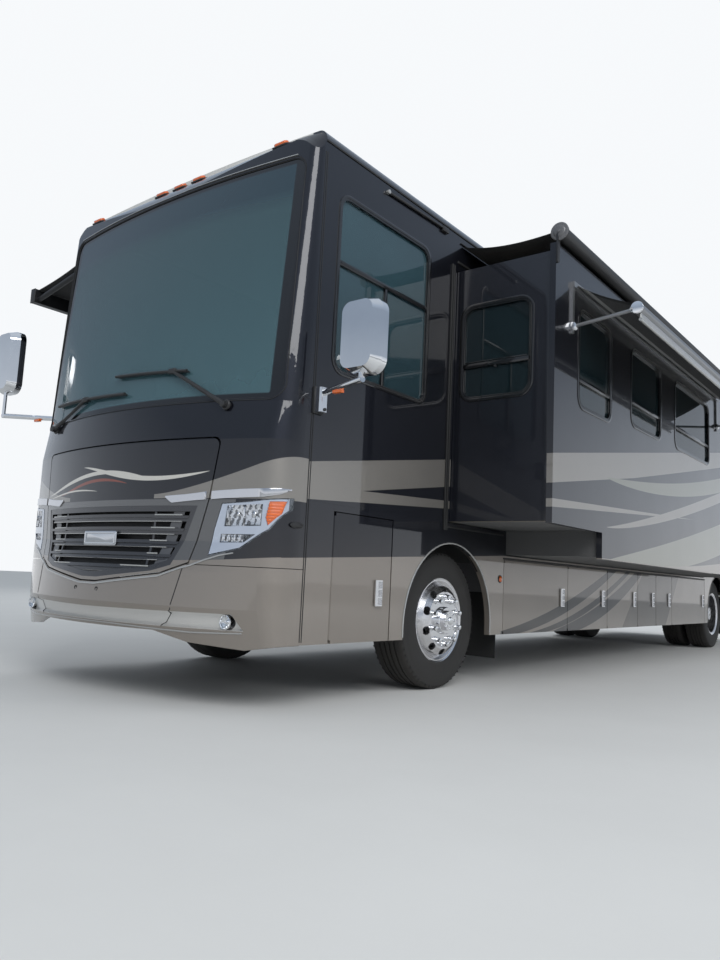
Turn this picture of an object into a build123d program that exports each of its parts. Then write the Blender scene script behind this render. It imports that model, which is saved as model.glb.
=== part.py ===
from build123d import *
from functools import lru_cache
import math
import os

# Full-size class A motorhome, in millimetres.
# X is across (left side of the vehicle positive), Y runs from front to rear, Z is up from the ground.
# Sizes are written from the front axle at Y = 0, and the finished pieces are moved to the row's origin.

# Running gear
wheelbase = 7540
hub_z = 492
tyre_radius = hub_z
tyre_width = 280
tyre_seat_radius = 286
front_wheel_x = 1070
kingpin_x = 900
dual_outer_x = 1075
spindle_radius = 45
spindle_reach = 115
kingpin_radius = 20
running_fit = 0.1
axle_tube_radius = 70
axle_tube_reach = 540
differential_radius = 190
spring_radius = 100
rail_low_z = 640
rail_outer_x = 430
rail_inner_x = 350
spring_x = (rail_outer_x + rail_inner_x) / 2

# Disc wheels, seen in section: half width, pad that bolts to the hub, hand holes
rim_half = 128
rim_lip = 6
rim_lip_radius = 303
pad_x = 166
pad_thick = 22
pad_radius = 192
hub_radius = 118
hand_holes = 10
hand_hole_circle = 224
hand_hole_size = (62, 44)
dual_inner_x = dual_outer_x - 2 * pad_x

# Body shell
half_width = 1290
wall = 45
panel = 30
skirt_z = 375
seam_y = -1600
rear_overhang = 2650
tail_y = wheelbase + rear_overhang
rear_cap_depth = 490
rear_seam_y = tail_y - rear_cap_depth
rear_lift_z = 580
wall_top_z = 3400
roof_top_z = 3520
roof_skin = 50
roof_corner = 75

# Floors, each a level of one slab
floor_thick = 50
floor_front_z = 1150
floor_mid_z = 980
floor_rear_z = 1150
floor_step_front_y = 800
floor_step_rear_y = wheelbase - 760

# Clearances
seat_gap = 0.3
door_gap = 11
glass_gap = 0.3

# Wheel arches
arch_radius = 592
arch_z = 455

# Storage doors: where each one starts and ends along the side
door_low_z = skirt_z
door_high_z = 965
jamb_low_z = 971
skirt_split_z = 1197
front_bay = (-1345, -745, skirt_z, 1150)
rear_jamb_y = wheelbase - 734
left_seams = (810, 2084, 3089, 4021, 4664, 5284, rear_jamb_y)
right_seams = (690, 2200, 3700, 5200, rear_jamb_y)
bay_back_x = 560
front_bay_back_x = 700
bay_low_z = 380
bay_sheet = 12
bay_gap = 10
nose_half = 4
barrel_radius = 5
barrel_inset = 6.5
latch_size = (22, 70, 163)
latch_rungs = 3
latch_from_edge = 148
latch_z = 677

# Slide-out room
slide_out_x = 2100
slide_y0 = -50
slide_y1 = wheelbase + 1310
slide_top_z = 3100
slide_high_z = 1205
slide_low_z = 1010
slide_step_y0 = 840
slide_step_y1 = wheelbase - 790
slide_inner_x = 1200
slide_clear = 8
flange_over = 32
flange_low_z = 994
flange_high_z = 1190
flange_top_z = 3140

# Hitch receiver
receiver_half = 38
receiver_z = 520

# Steered axle's beam
steer_beam_half = 40

# Cross members of the chassis, front to rear
cross_member_wide = 60
cross_members = (
    -1400,
    -700,
    900,
    2600,
    4300,
    wheelbase - 1540,
    wheelbase - 640,
    wheelbase + 660,
    rear_seam_y - 80,
)

# Front cap: height, how far forward its middle is, where its corner meets the side, corner radius
cap_sections = (
    (340, -2085, -1650, 170),
    (560, -2160, -1650, 220),
    (760, -2120, -1650, 220),
    (933, -2072, -1650, 220),
    (1524, -2049, -1650, 220),
    (1750, -2030, -1640, 180),
    (3560, -1740, -1610, 60),
)
cap_skin = 30
front_reach_y = -2300
front_back_y = -1750
crown_start = (-1800, 3215)
crown_mid = (-1742, 3362)
crown_end = (seam_y, 3462)
crown_sections = ((seam_y, 3484, 100), (-1660, 3448, 200), (-1730, 3400, 290), (-1810, 3352, 330), (-2300, 3352, 330))
crown_camber = 36
crown_past = 1.5
windscreen_half = ((1212, 3285), (1226, 1765))
windscreen_corner = 90
windscreen_thick = 10

# Bumper: its top, its lower edge and the slot with the fog lamps, as points across and up
bumper_top_z = 800
bumper_seam = 4
bumper_low_edge = ((1300, 375), (1107, 340), (776, 364), (560, 416))
slot_half_outline = ((210, 524), (1050, 533), (1107, 446), (560, 446))
slot_depth = 26
slot_sheet = 18
fog_lamp_x = 1010
fog_lamp_z = 489
fog_lamp_radius = 41

# Service hood and the grille in it, as points of the right half
hood_half_outline = ((893, 1530), (848, 1180), (763, 811), (591, 747), (77, 680))
hood_corner = 42
hood_skin = 20
hood_gap = 9
hood_hinge_depth = 47
hood_hinge_z = 1700
hood_arm_radius = 195
hood_arm_half = 13
hood_arm_x = 350
hood_pin_radius = 6
grille_half_outline = ((779, 1136), (714, 937), (651, 790), (519, 752), (77, 700))
grille_rim = 34
grille_bars = 5
grille_low_z = 738
grille_pitch = 76
grille_bar_tall = 44
grille_step_x = (470, 560)

# Headlamps: outline of the right one, and its bowls as across, up and radius
lamp_outline = ((878, 850), (898, 998), (936, 1153), (1104, 1166), (1286, 1193), (1286, 1129), (1217, 1007), (1065, 896))
lamp_back_y = -1700
lens_thick = 4
lamp_bowls = ((990, 1068, 58), (1108, 1078, 52))
lamp_strip = (925, 1100, 910, 962)
bowl_depth = 70

# Windows in the walls: start, end, low, high
window_corner = 90
driver_window = (-1440, -430, 2000, 3130)
right_windows = (
    (-560, -60, 2060, 2790),
    (300, 1250, 2130, 2790),
    (2500, 3300, 2130, 2790),
    (5000, 5600, 2130, 2790),
    (wheelbase - 240, wheelbase + 660, 2130, 2790),
)
slide_windows = (
    (330, 970, 2060, 2790),
    (1430, 2210, 2130, 2790),
    (2640, 3850, 2140, 2790),
    (5200, 5900, 2140, 2790),
    (wheelbase - 440, wheelbase + 560, 2140, 2790),
)
slide_end_window = (1355, 1910, 2100, 2800)
pane = 8

# Entry door
entry_y0 = -1470
entry_y1 = -690
entry_z0 = 420
entry_z1 = 2600
entry_window = (-1330, -830, 1850, 2440)

# Engine door in the tail
engine_door_half = 700
engine_door_z0 = 760
engine_door_z1 = 1900

# Wipers: how far they stand off the front, then pivot, arm's end and both blade ends, across and up
wiper_stand = 24
wiper_places = (
    ((901, 1728), (467, 1969), (-80, 1995), (582, 1962)),
    ((-901, 1728), (-420, 1880), (-934, 1905), (60, 1862)),
)

# Mirrors: side, head's middle across and its glass face, low and high ends, height of the arm, its root along
mirror_size = (262, 120, 26)
mirror_corner = 84
mirror_arm_radius = 19
mirror_post_radius = 14
mirror_arm_rise = 26
mirror_places = (
    (1, 1678, -1590, 1876, 2306, 1822, -1560),
    (-1, -1830, -1790, 2112, 2622, 1905, -1560),
)

# Tail lamps: middle across, half width, low and high ends
tail_lamp_x = 1110
tail_lamp_half = 60
tail_lamp_z = (1000, 1500)


def box(x0, x1, y0, y1, z0, z1):
    """A block between two limits on each axis."""
    return Pos((x0 + x1) / 2, (y0 + y1) / 2, (z0 + z1) / 2) * Box(x1 - x0, y1 - y0, z1 - z0)


def both_sides(solid):
    """A piece and its mirror image across the vehicle."""
    return [solid, mirror(solid, about=Plane.YZ)]


def rod(start, end, radius):
    """A round bar between two points."""
    line = Line(start, end)
    return extrude(Plane(origin=start, z_dir=line % 0) * Circle(radius), amount=line.length)


def along_x(face_sketch, x0, x1):
    """A sketch with its axes on Y and Z, drawn out along X."""
    plane = Plane(origin=(x0, 0, 0), x_dir=(0, 1, 0), z_dir=(1, 0, 0))
    return extrude(plane * face_sketch, amount=x1 - x0, dir=(1, 0, 0))


def along_y(face_sketch, y0, y1):
    """A sketch with its axes on X and Z, drawn out along Y."""
    plane = Plane(origin=(0, y0, 0), x_dir=(1, 0, 0), z_dir=(0, -1, 0))
    return extrude(plane * face_sketch, amount=y1 - y0, dir=(0, 1, 0))


def outline(points):
    """A closed flat face through the points."""
    return make_face(Polyline(*points, close=True))


def rounded(a0, a1, b0, b1, radius):
    """A rounded rectangle between limits on both axes."""
    return Pos((a0 + a1) / 2, (b0 + b1) / 2) * RectangleRounded(a1 - a0, b1 - b0, radius)


def cap_outline(nose_y, side_y, corner, inset, back_y):
    """The front's plan: a wide bow that turns a round corner into each side."""
    nose = nose_y + inset
    radius = corner - inset
    reach = half_width - inset
    depth = side_y - nose
    bow = (depth**2 - radius**2 + (reach - radius) ** 2) / (2 * (depth - radius))
    corner_x = reach - radius
    bow_y = nose + bow
    turn = math.atan2(corner_x, bow_y - side_y)
    half_turn = (turn + math.pi / 2) / 2
    meet = (bow * math.sin(turn), bow_y - bow * math.cos(turn))
    mid = (corner_x + radius * math.sin(half_turn), side_y - radius * math.cos(half_turn))
    right = Line((reach, back_y), (reach, side_y)) + ThreePointArc((reach, side_y), mid, meet)
    bow_arc = ThreePointArc(meet, (0, nose), (-meet[0], meet[1]))
    left = ThreePointArc((-meet[0], meet[1]), (-mid[0], mid[1]), (-reach, side_y))
    back = Line((-reach, side_y), (-reach, back_y)) + Line((-reach, back_y), (reach, back_y))
    return make_face(right + bow_arc + left + back)


def front_y(x, z):
    """Where the front's bow lies at a place across and a height."""
    for (z0, nose0, side0, corner0), (z1, nose1, side1, corner1) in zip(cap_sections, cap_sections[1:]):
        if z <= z1:
            break
    share = (z - z0) / (z1 - z0)
    nose = nose0 + share * (nose1 - nose0)
    depth = side0 + share * (side1 - side0) - nose
    radius = corner0 + share * (corner1 - corner0)
    bow = (depth**2 - radius**2 + (half_width - radius) ** 2) / (2 * (depth - radius))
    return nose + bow - math.sqrt(bow**2 - x**2)


def crown_section(y, edge_z, radius, inset):
    """The front's outline seen from ahead: straight sides, round top corners and a cambered top."""
    reach, top, turn = half_width - inset + crown_past, edge_z - inset, radius - inset
    mid = turn * (1 - math.sqrt(0.5))
    right = Line((reach, 0), (reach, top - turn)) + ThreePointArc((reach, top - turn), (reach - mid, top - mid), (reach - turn, top))
    over = ThreePointArc((reach - turn, top), (0, top + crown_camber), (turn - reach, top))
    left = ThreePointArc((turn - reach, top), (mid - reach, top - mid), (-reach, top - turn)) + Line((-reach, top - turn), (-reach, 0))
    face = make_face(right + over + left + Line((-reach, 0), (reach, 0)))
    return Plane(origin=(0, y, 0), x_dir=(1, 0, 0), z_dir=(0, -1, 0)) * face


@lru_cache(maxsize=None)
def cap_form(inset):
    """The front's whole solid form, drawn in by the inset."""
    faces = [Pos(0, 0, z) * cap_outline(nose, side, corner, inset, seam_y) for z, nose, side, corner in cap_sections]
    form = loft(faces, ruled=True)
    start = (crown_start[0] + inset, crown_start[1])
    mid = (crown_mid[0] + inset * 0.8, crown_mid[1] - inset * 0.6)
    end = (crown_end[0], crown_end[1] - inset)
    side = (
        Line((front_reach_y, 0), (front_reach_y, start[1]))
        + Line((front_reach_y, start[1]), start)
        + ThreePointArc(start, mid, end)
        + Line(end, (seam_y, 0))
        + Line((seam_y, 0), (front_reach_y, 0))
    )
    crown = loft([crown_section(y, edge_z, radius, inset) for y, edge_z, radius in crown_sections], ruled=True)
    return form & along_x(make_face(side), -half_width, half_width) & crown


def cap_block(inset, low_z, high_z):
    """The front's form between two heights."""
    return cap_form(inset) & box(-half_width, half_width, front_reach_y, seam_y, low_z, high_z)


def cap_shell(low_z, high_z, outer, inner):
    """A layer of the front between two insets."""
    return cap_block(outer, low_z, high_z) - cap_block(inner, low_z - 1, high_z + 1)


def mirrored_outline(half_points):
    """A closed outline from the points of its right half."""
    return list(half_points) + [(-x, z) for x, z in reversed(half_points)]


def through_front(face):
    """A flat shape, seen from ahead, drawn through the whole front."""
    return along_y(face, front_reach_y, front_back_y)


def grown(points, amount):
    """An outline drawn outwards by an amount, or inwards where it is negative."""
    return offset(outline(points), amount=amount, kind=Kind.INTERSECTION)


def hood_shape(grow):
    """The service hood's outline with its round top corners, wider all round by the gap."""
    shape = grown(mirrored_outline(hood_half_outline), grow)
    return fillet(shape.vertices().sort_by(Axis.Y)[-2:], hood_corner)


def chassis_frame():
    """Two channel rails, cross members and the hitch receiver."""
    outer, inner, rail_low, rail_high, sheet = rail_outer_x, rail_inner_x, rail_low_z, rail_low_z + 240, 10
    rail_y0, rail_y1 = -1450, rear_seam_y - 10
    rail = box(inner, outer, rail_y0, rail_y1, rail_low, rail_high)
    rail -= box(inner - 1, outer - sheet, rail_y0 - 1, rail_y1 + 1, rail_low + sheet, rail_high - sheet)
    frame = rail + mirror(rail, about=Plane.YZ)
    for y in cross_members:
        frame += box(-outer + sheet, outer - sheet, y, y + cross_member_wide, rail_low + 40, rail_high - 40)
        low_floor = floor_step_front_y < y < floor_step_rear_y
        seat_z = (floor_mid_z if low_floor else floor_front_z) - floor_thick
        for x in (inner, -outer):
            frame += box(x, x + outer - inner, y, y + cross_member_wide, rail_high - sheet, seat_z)
    receiver_inner, receiver_y0 = 25.5, rear_seam_y - 100
    receiver_y1 = tail_y - 20
    for x in (-receiver_half - 62, receiver_half + 50):
        frame += box(x, x + 12, receiver_y0, rail_y1, receiver_z - receiver_half, rail_low + 50)
    frame += box(-receiver_half - 62, receiver_half + 62, receiver_y0, rail_y1, receiver_z - 30, receiver_z + 30)
    tube = box(-receiver_half, receiver_half, receiver_y0, receiver_y1, receiver_z - receiver_half, receiver_z + receiver_half)
    frame += tube
    bore = box(-receiver_inner, receiver_inner, receiver_y0 + 150, receiver_y1 + 1, receiver_z - receiver_inner, receiver_z + receiver_inner)
    pin_hole = Pos(0, receiver_y1 - 60, receiver_z) * Rot(0, 90, 0) * Cylinder(8.1, 200)
    return [frame - bore - pin_hole]


def spring_can(x, y, low_z):
    """An upright air spring from its seat on an axle to the frame's rail."""
    return Pos(x, y, (low_z + rail_low_z) / 2) * Cylinder(spring_radius, rail_low_z - low_z)


def front_axle():
    """The steered axle's beam, its kingpin bosses and the springs under the rails."""
    beam = box(-kingpin_x, kingpin_x, -steer_beam_half, steer_beam_half, hub_z - 60, hub_z + 40)
    drop = box(-700, 700, -steer_beam_half - 1, steer_beam_half + 1, hub_z + 10, hub_z + 41)
    beam -= drop
    for x in (-kingpin_x, kingpin_x):
        beam += Pos(x, 0, hub_z) * Cylinder(42, 150)
        beam -= Pos(x, 0, hub_z) * Cylinder(kingpin_radius + running_fit, 200)
    cans = [spring_can(x, 0, hub_z + 10 + seat_gap) for x in (-spring_x, spring_x)]
    return [beam] + cans


def knuckle(side):
    """A steered wheel's fork, kingpin and spindle."""
    plate = Pos(kingpin_x + 15, 0, 0) * Box(110, 100, 22)
    fork = Pos(0, 0, hub_z + 75 + seat_gap + 11) * plate + Pos(0, 0, hub_z - 75 - seat_gap - 11) * plate
    fork += box(kingpin_x + 50, kingpin_x + 74, -50, 50, hub_z - 97, hub_z + 97)
    fork += Pos(kingpin_x, 0, hub_z) * Cylinder(kingpin_radius, 180)
    fork += rod((kingpin_x + 60, 0, hub_z), (front_wheel_x + spindle_reach, 0, hub_z), spindle_radius)
    return [fork if side > 0 else mirror(fork, about=Plane.YZ)]


def rear_axle():
    """The drive axle: housing, differential, spindles and its springs."""
    reach = dual_outer_x + 60
    axle = rod((-reach, wheelbase, hub_z), (reach, wheelbase, hub_z), spindle_radius)
    axle += rod((-axle_tube_reach, wheelbase, hub_z), (axle_tube_reach, wheelbase, hub_z), axle_tube_radius)
    axle += Pos(0, wheelbase, hub_z) * Sphere(differential_radius)
    cans = [spring_can(x, wheelbase, hub_z + axle_tube_radius + seat_gap) for x in (-spring_x, spring_x)]
    return [axle] + cans


def tyre(centre_x):
    """A road tyre as one turned ring."""
    half = tyre_width / 2
    bead = half - 19
    flat = half - 34
    profile = Polyline(
        (-bead, tyre_seat_radius),
        (-bead, rim_lip_radius + 2),
        (-half, tyre_seat_radius + 90),
        (-half, tyre_radius - 60),
        (-flat, tyre_radius),
        (flat, tyre_radius),
        (half, tyre_radius - 60),
        (half, tyre_seat_radius + 90),
        (bead, rim_lip_radius + 2),
        (bead, tyre_seat_radius),
        close=True,
    )
    ring = revolve(Plane.XY * make_face(profile), axis=Axis.X)
    return Pos(centre_x, 0, hub_z) * ring


def rim(centre_x, side):
    """A forged disc wheel turned about its axle, its pad on the side given, with a ring of oval hand holes."""
    half, lip = rim_half, rim_lip
    seat = tyre_seat_radius - seat_gap
    section = Polyline(
        (-half, rim_lip_radius),
        (-half + lip, rim_lip_radius),
        (-half + lip, seat),
        (half - lip, seat),
        (half - lip, rim_lip_radius),
        (half, rim_lip_radius),
        (half - 20, 266),
        (pad_x - 20, 246),
        (pad_x + 8, pad_radius + 14),
        (pad_x + 8, pad_radius),
        (pad_x, pad_radius - 4),
        (pad_x, 60),
        (pad_x - pad_thick, 60),
        (pad_x - pad_thick, pad_radius - 14),
        (pad_x - 46, 236),
        (half - 46, 266),
        (-half + 14, 272),
        close=True,
    )
    wheel = revolve(Plane.XY * make_face(section), axis=Axis.X)
    wide, tall = hand_hole_size
    hole = Plane.YZ * Pos(0, hand_hole_circle) * SlotOverall(wide, tall)
    hole = extrude(hole, amount=2 * pad_x)
    for k in range(hand_holes):
        wheel -= Rot(360 * k / hand_holes, 0, 0) * hole
    if side < 0:
        wheel = mirror(wheel, about=Plane.YZ)
    return Pos(centre_x, 0, hub_z) * wheel


def front_wheel(side):
    """A steered wheel: its tyre, and its rim with hub and hub cap."""
    wheel = rim(front_wheel_x, 1)
    hub_end = front_wheel_x + pad_x - pad_thick
    wheel += rod((front_wheel_x + 10, 0, hub_z), (hub_end + 1, 0, hub_z), hub_radius)
    wheel += rod((hub_end, 0, hub_z), (front_wheel_x + pad_x + 30, 0, hub_z), hub_radius - 26)
    wheel += rod((hub_end, 0, hub_z), (half_width + 4, 0, hub_z), hub_radius - 46)
    wheel -= rod((front_wheel_x, 0, hub_z), (front_wheel_x + spindle_reach + 5, 0, hub_z), spindle_radius + running_fit)
    rubber = tyre(front_wheel_x)
    if side < 0:
        wheel, rubber = mirror(wheel, about=Plane.YZ), mirror(rubber, about=Plane.YZ)
    return [rubber], [wheel]


def rear_wheels(side):
    """A pair of twin wheels that turn as one: tyres, and rims set back to back on one hub."""
    meet_x = dual_outer_x - pad_x
    wheel = rim(dual_outer_x, -1) + rim(dual_inner_x, 1)
    wheel += rod((dual_inner_x + 20, 0, hub_z), (meet_x + 120, 0, hub_z), hub_radius)
    wheel += rod((meet_x, 0, hub_z), (dual_outer_x + 90, 0, hub_z), hub_radius - 30)
    wheel -= rod((dual_inner_x, 0, hub_z), (dual_outer_x + 65, 0, hub_z), spindle_radius + running_fit)
    rubber = [tyre(dual_outer_x), tyre(dual_inner_x)]
    place = Pos(0, wheelbase, 0)
    wheel = place * wheel
    rubber = [place * r for r in rubber]
    if side < 0:
        wheel = mirror(wheel, about=Plane.YZ)
        rubber = [mirror(r, about=Plane.YZ) for r in rubber]
    return rubber, [wheel]


def cabin_floor():
    """The floor slab in three levels, with the stair well cut at the entry."""
    levels = outline(
        (
            (seam_y, floor_front_z),
            (seam_y, floor_front_z - floor_thick),
            (floor_step_front_y - floor_thick, floor_front_z - floor_thick),
            (floor_step_front_y - floor_thick, floor_mid_z - floor_thick),
            (floor_step_rear_y + floor_thick, floor_mid_z - floor_thick),
            (floor_step_rear_y + floor_thick, floor_rear_z - floor_thick),
            (rear_seam_y, floor_rear_z - floor_thick),
            (rear_seam_y, floor_rear_z),
            (floor_step_rear_y, floor_rear_z),
            (floor_step_rear_y, floor_mid_z),
            (floor_step_front_y, floor_mid_z),
            (floor_step_front_y, floor_front_z),
        )
    )
    reach = half_width - wall
    slab = along_x(levels, -reach, reach)
    pads, pad_wide, pad_inset = 5, 120, 360
    pad_pitch = (slide_step_y1 - slide_step_y0 - 2 * pad_inset - pad_wide) / (pads - 1)
    for k in range(pads):
        y = slide_step_y0 + pad_inset + k * pad_pitch
        slab += box(slide_inner_x + 5, reach, y, y + pad_wide, floor_mid_z - 1, slide_low_z - seat_gap)
    return [slab - box(-reach - 1, -stair_x, entry_y0, entry_y1, floor_front_z - 60, floor_front_z + 1)]


stair_x = 620
stair_rise = (450, 690, 920)


def entry_steps():
    """The stair well: three treads between side plates, down from the cab floor."""
    reach = half_width - wall - 10
    sheet = 15
    y0, y1 = entry_y0, entry_y1
    depth = (reach - stair_x - 15) / 3
    steps = box(-reach, -stair_x, y0, y0 + sheet, stair_rise[0] - 20, floor_front_z - floor_thick)
    steps += box(-reach, -stair_x, y1 - sheet, y1, stair_rise[0] - 20, floor_front_z - floor_thick)
    steps += box(-stair_x - sheet, -stair_x, y0, y1, stair_rise[2] - 20, floor_front_z - floor_thick)
    for k, z in enumerate(stair_rise):
        x0 = -reach + depth * k
        steps += box(x0, x0 + depth, y0, y1, z - 20, z)
        if k:
            steps += box(x0, x0 + sheet, y0, y1, stair_rise[k - 1] - 20, z)
    return [steps]


def storage_tub(y0, y1, back_x, top, side):
    """One storage box: floor, back and two walls, the front one with the nose that carries the door's hinge."""
    reach = half_width - wall
    inner = bay_gap / 2 + bay_sheet
    tub = box(back_x, reach, y0 + bay_gap / 2, y1 - bay_gap / 2, bay_low_z, top)
    tub -= box(back_x + bay_sheet, reach + 1, y0 + inner, y1 - inner, bay_low_z + bay_sheet, top + 1)
    tub += box(reach - 20, reach + 8, y0 - nose_half, y0 + inner, bay_low_z + bay_sheet, top)
    nose_x = half_width - barrel_inset - barrel_radius - seat_gap
    tub += box(reach, nose_x, y0 - nose_half, y0 + nose_half, bay_low_z + bay_sheet, top)
    return tub if side > 0 else mirror(tub, about=Plane.YZ)


def storage_bay_rear():
    """The long basement box ahead of the left rear wheels."""
    return [storage_tub(left_seams[-2], left_seams[-1], bay_back_x, floor_mid_z - floor_thick, 1)]


def storage_bays():
    """The other basement boxes on both sides and the small one ahead of the left front wheel."""
    top = floor_mid_z - floor_thick
    tubs = [storage_tub(y0, y1, bay_back_x, top, 1) for y0, y1 in zip(left_seams[:-1], left_seams[1:-1])]
    tubs += [storage_tub(y0, y1, bay_back_x, top, -1) for y0, y1 in zip(right_seams, right_seams[1:])]
    tubs.append(storage_tub(front_bay[0], front_bay[1], front_bay_back_x, floor_front_z - floor_thick, 1))
    return tubs


def bay_door(y0, y1, z0, z1, side):
    """A side-hinged storage door with its hinge barrel at the front and its ladder latch at the rear."""
    axis_x = half_width - barrel_inset
    slab = box(half_width - panel, half_width, y0 + 12, y1 - door_gap, z0, z1)
    leaf = box(axis_x - 1, half_width, y0, y0 + 13, z0 + 20, z1 - 20)
    leaf -= Pos(axis_x, y0, (z0 + z1) / 2) * Cylinder(barrel_radius - 1, z1 - z0)
    barrel = Pos(axis_x, y0, (z0 + z1) / 2) * Cylinder(barrel_radius, z1 - z0 - 40)
    thick, wide, tall = latch_size
    latch_y = y1 - latch_from_edge
    latch = box(half_width - 1, half_width + thick, latch_y - wide / 2, latch_y + wide / 2, latch_z - tall / 2, latch_z + tall / 2)
    latch = chamfer(latch.edges().filter_by(Axis.Z), 6)
    rung = 8
    pitch = (tall - rung) / latch_rungs
    for k in range(latch_rungs):
        low = latch_z - tall / 2 + rung + k * pitch
        latch -= box(half_width + 6, half_width + thick + 1, latch_y - wide / 2 + 9, latch_y + wide / 2 - 9, low, low + pitch - rung)
    door = slab + leaf + barrel + latch
    return [door if side > 0 else mirror(door, about=Plane.YZ)]


def arch_cut(centre_y, side):
    """The round opening over a wheel."""
    reach = half_width + 1
    hole = Pos(side * half_width, centre_y, arch_z) * Rot(0, 90, 0) * Cylinder(arch_radius, 4 * wall)
    low = box(-reach, reach, centre_y - arch_radius, centre_y + arch_radius, 0, arch_z)
    return hole + low & box(min(0, side * 1400), max(0, side * 1400), centre_y - 800, centre_y + 800, 0, 1400)


def side_wall_left():
    """The left wall above the skirt: the driver's window and the slide's opening."""
    reach = half_width - wall
    slab = box(reach, half_width, seam_y, rear_seam_y, skirt_split_z, wall_top_z)
    slab -= box(reach - 1, half_width + 1, slide_y0 - slide_clear, slide_y1 + slide_clear, 0, slide_top_z + slide_clear)
    slab -= along_x(rounded(*driver_window, window_corner), reach - 1, half_width + 1)
    return [slab]


def side_skirts_left():
    """The left side's lower panels: one ahead of the first door, one over it, both arch panels and the sill between them."""
    reach = half_width - wall
    top = skirt_split_z - seat_gap
    y0, y1, z0, z1 = front_bay
    step_y0, step_y1 = slide_step_y0 - slide_clear, slide_step_y1 + slide_clear
    ahead = box(reach, half_width, seam_y, y0 - door_gap, skirt_z, top)
    over = box(reach, half_width, y0 - door_gap + seat_gap, y1 - seat_gap, z1 + 6, top)
    front_arch = box(reach, half_width, y1, step_y0, skirt_z, top) - arch_cut(0, 1)
    front_arch -= box(reach - 1, half_width + 1, left_seams[0] - nose_half - 6, step_y0 + 1, 0, jamb_low_z)
    sill = box(reach, half_width, step_y0 + seat_gap, step_y1 - seat_gap, jamb_low_z, slide_low_z - slide_clear)
    rear_arch = box(reach, half_width, step_y1, rear_seam_y, skirt_z, top) - arch_cut(wheelbase, 1)
    rear_arch -= box(reach - 1, half_width + 1, step_y1 - 1, left_seams[-1], 0, jamb_low_z)
    return [ahead, over, front_arch, sill, rear_arch]


def side_wall_right():
    """The right wall: entry doorway, windows, arches and the lower bays' jambs."""
    reach = half_width - wall
    slab = box(-half_width, -reach, seam_y, rear_seam_y, skirt_z, wall_top_z)
    slab -= box(-half_width - 1, -reach + 1, right_seams[0] - nose_half - 6, right_seams[-1], 0, jamb_low_z)
    slab -= arch_cut(0, -1)
    slab -= arch_cut(wheelbase, -1)
    slab -= box(-half_width - 1, -reach + 1, entry_y0 - door_gap, entry_y1, 0, entry_z1 + 6)
    nose_x = half_width - barrel_inset - barrel_radius - seat_gap
    slab += box(-nose_x, -reach, entry_y0 - 20, entry_y0 + nose_half, skirt_z, entry_z1 + 6)
    for window in right_windows:
        slab -= along_x(rounded(*window, window_corner), -half_width - 1, -reach + 1)
    return [slab]


def body_windows():
    """The fixed panes of both walls."""
    mid = half_width - wall / 2
    panes = []
    for sign, windows in ((1, (driver_window,)), (-1, right_windows)):
        for y0, y1, z0, z1 in windows:
            glass = rounded(y0 + glass_gap, y1 - glass_gap, z0 + glass_gap, z1 - glass_gap, window_corner)
            panes.append(along_x(glass, sign * mid - pane / 2, sign * mid + pane / 2))
    return panes


def entry_door():
    """The entry door with its window cut and its hinge barrel at the front."""
    axis_x = half_width - barrel_inset
    slab = box(half_width - wall, half_width, entry_y0 + 12, entry_y1 - door_gap, entry_z0, entry_z1)
    slab -= along_x(rounded(*entry_window, 150), half_width - wall - 1, half_width + 1)
    leaf = box(axis_x - 1, half_width, entry_y0, entry_y0 + 13, entry_z0 + 20, entry_z1 - 20)
    leaf -= Pos(axis_x, entry_y0, (entry_z0 + entry_z1) / 2) * Cylinder(barrel_radius - 1, entry_z1 - entry_z0)
    barrel = Pos(axis_x, entry_y0, (entry_z0 + entry_z1) / 2) * Cylinder(barrel_radius, entry_z1 - entry_z0 - 40)
    handle = box(half_width - 1, half_width + 30, entry_y1 - 150, entry_y1 - 60, 1250, 1400)
    return [mirror(slab + leaf + barrel + handle, about=Plane.YZ)]


def entry_door_window():
    """The pane in the entry door."""
    mid = -(half_width - wall / 2)
    y0, y1, z0, z1 = entry_window
    glass = rounded(y0 + glass_gap, y1 - glass_gap, z0 + glass_gap, z1 - glass_gap, 150)
    return [along_x(glass, mid - pane / 2, mid + pane / 2)]


def roof():
    """The roof: a cambered skin that turns down to the walls with round edges."""

    def arch(inset):
        reach = half_width - inset
        low = wall_top_z
        radius = roof_corner - inset
        edge_z = roof_top_z - 35 - inset
        right = Line((reach, low), (reach, edge_z - radius))
        turn = ThreePointArc(
            (reach, edge_z - radius),
            (reach - radius * (1 - math.cos(math.pi / 4)), edge_z - radius * (1 - math.sin(math.pi / 4))),
            (reach - radius, edge_z),
        )
        crown = ThreePointArc((reach - radius, edge_z), (0, roof_top_z - inset), (radius - reach, edge_z))
        turn_left = ThreePointArc(
            (radius - reach, edge_z),
            (-reach + radius * (1 - math.cos(math.pi / 4)), edge_z - radius * (1 - math.sin(math.pi / 4))),
            (-reach, edge_z - radius),
        )
        left = Line((-reach, edge_z - radius), (-reach, low))
        return make_face(right + turn + crown + turn_left + left + Line((-reach, low), (reach, low)))

    skin = along_y(arch(0), seam_y, rear_seam_y)
    return [skin - along_y(arch(roof_skin), seam_y - 1, rear_seam_y + 1)]


def roof_air_conditioners():
    """Three low rounded housings seated on the roof."""
    units = []
    for y in (1500, wheelbase - 2740, wheelbase + 460):
        unit = box(-350, 350, y - 500, y + 500, roof_top_z - 20, roof_top_z + 300)
        unit = fillet(unit.edges().filter_by(Axis.Z), 90)
        unit = chamfer(unit.faces().sort_by(Axis.Z)[-1].edges(), 60)
        units.append(unit - along_y(roof_cut(), y - 600, y + 600))
    return units


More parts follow.
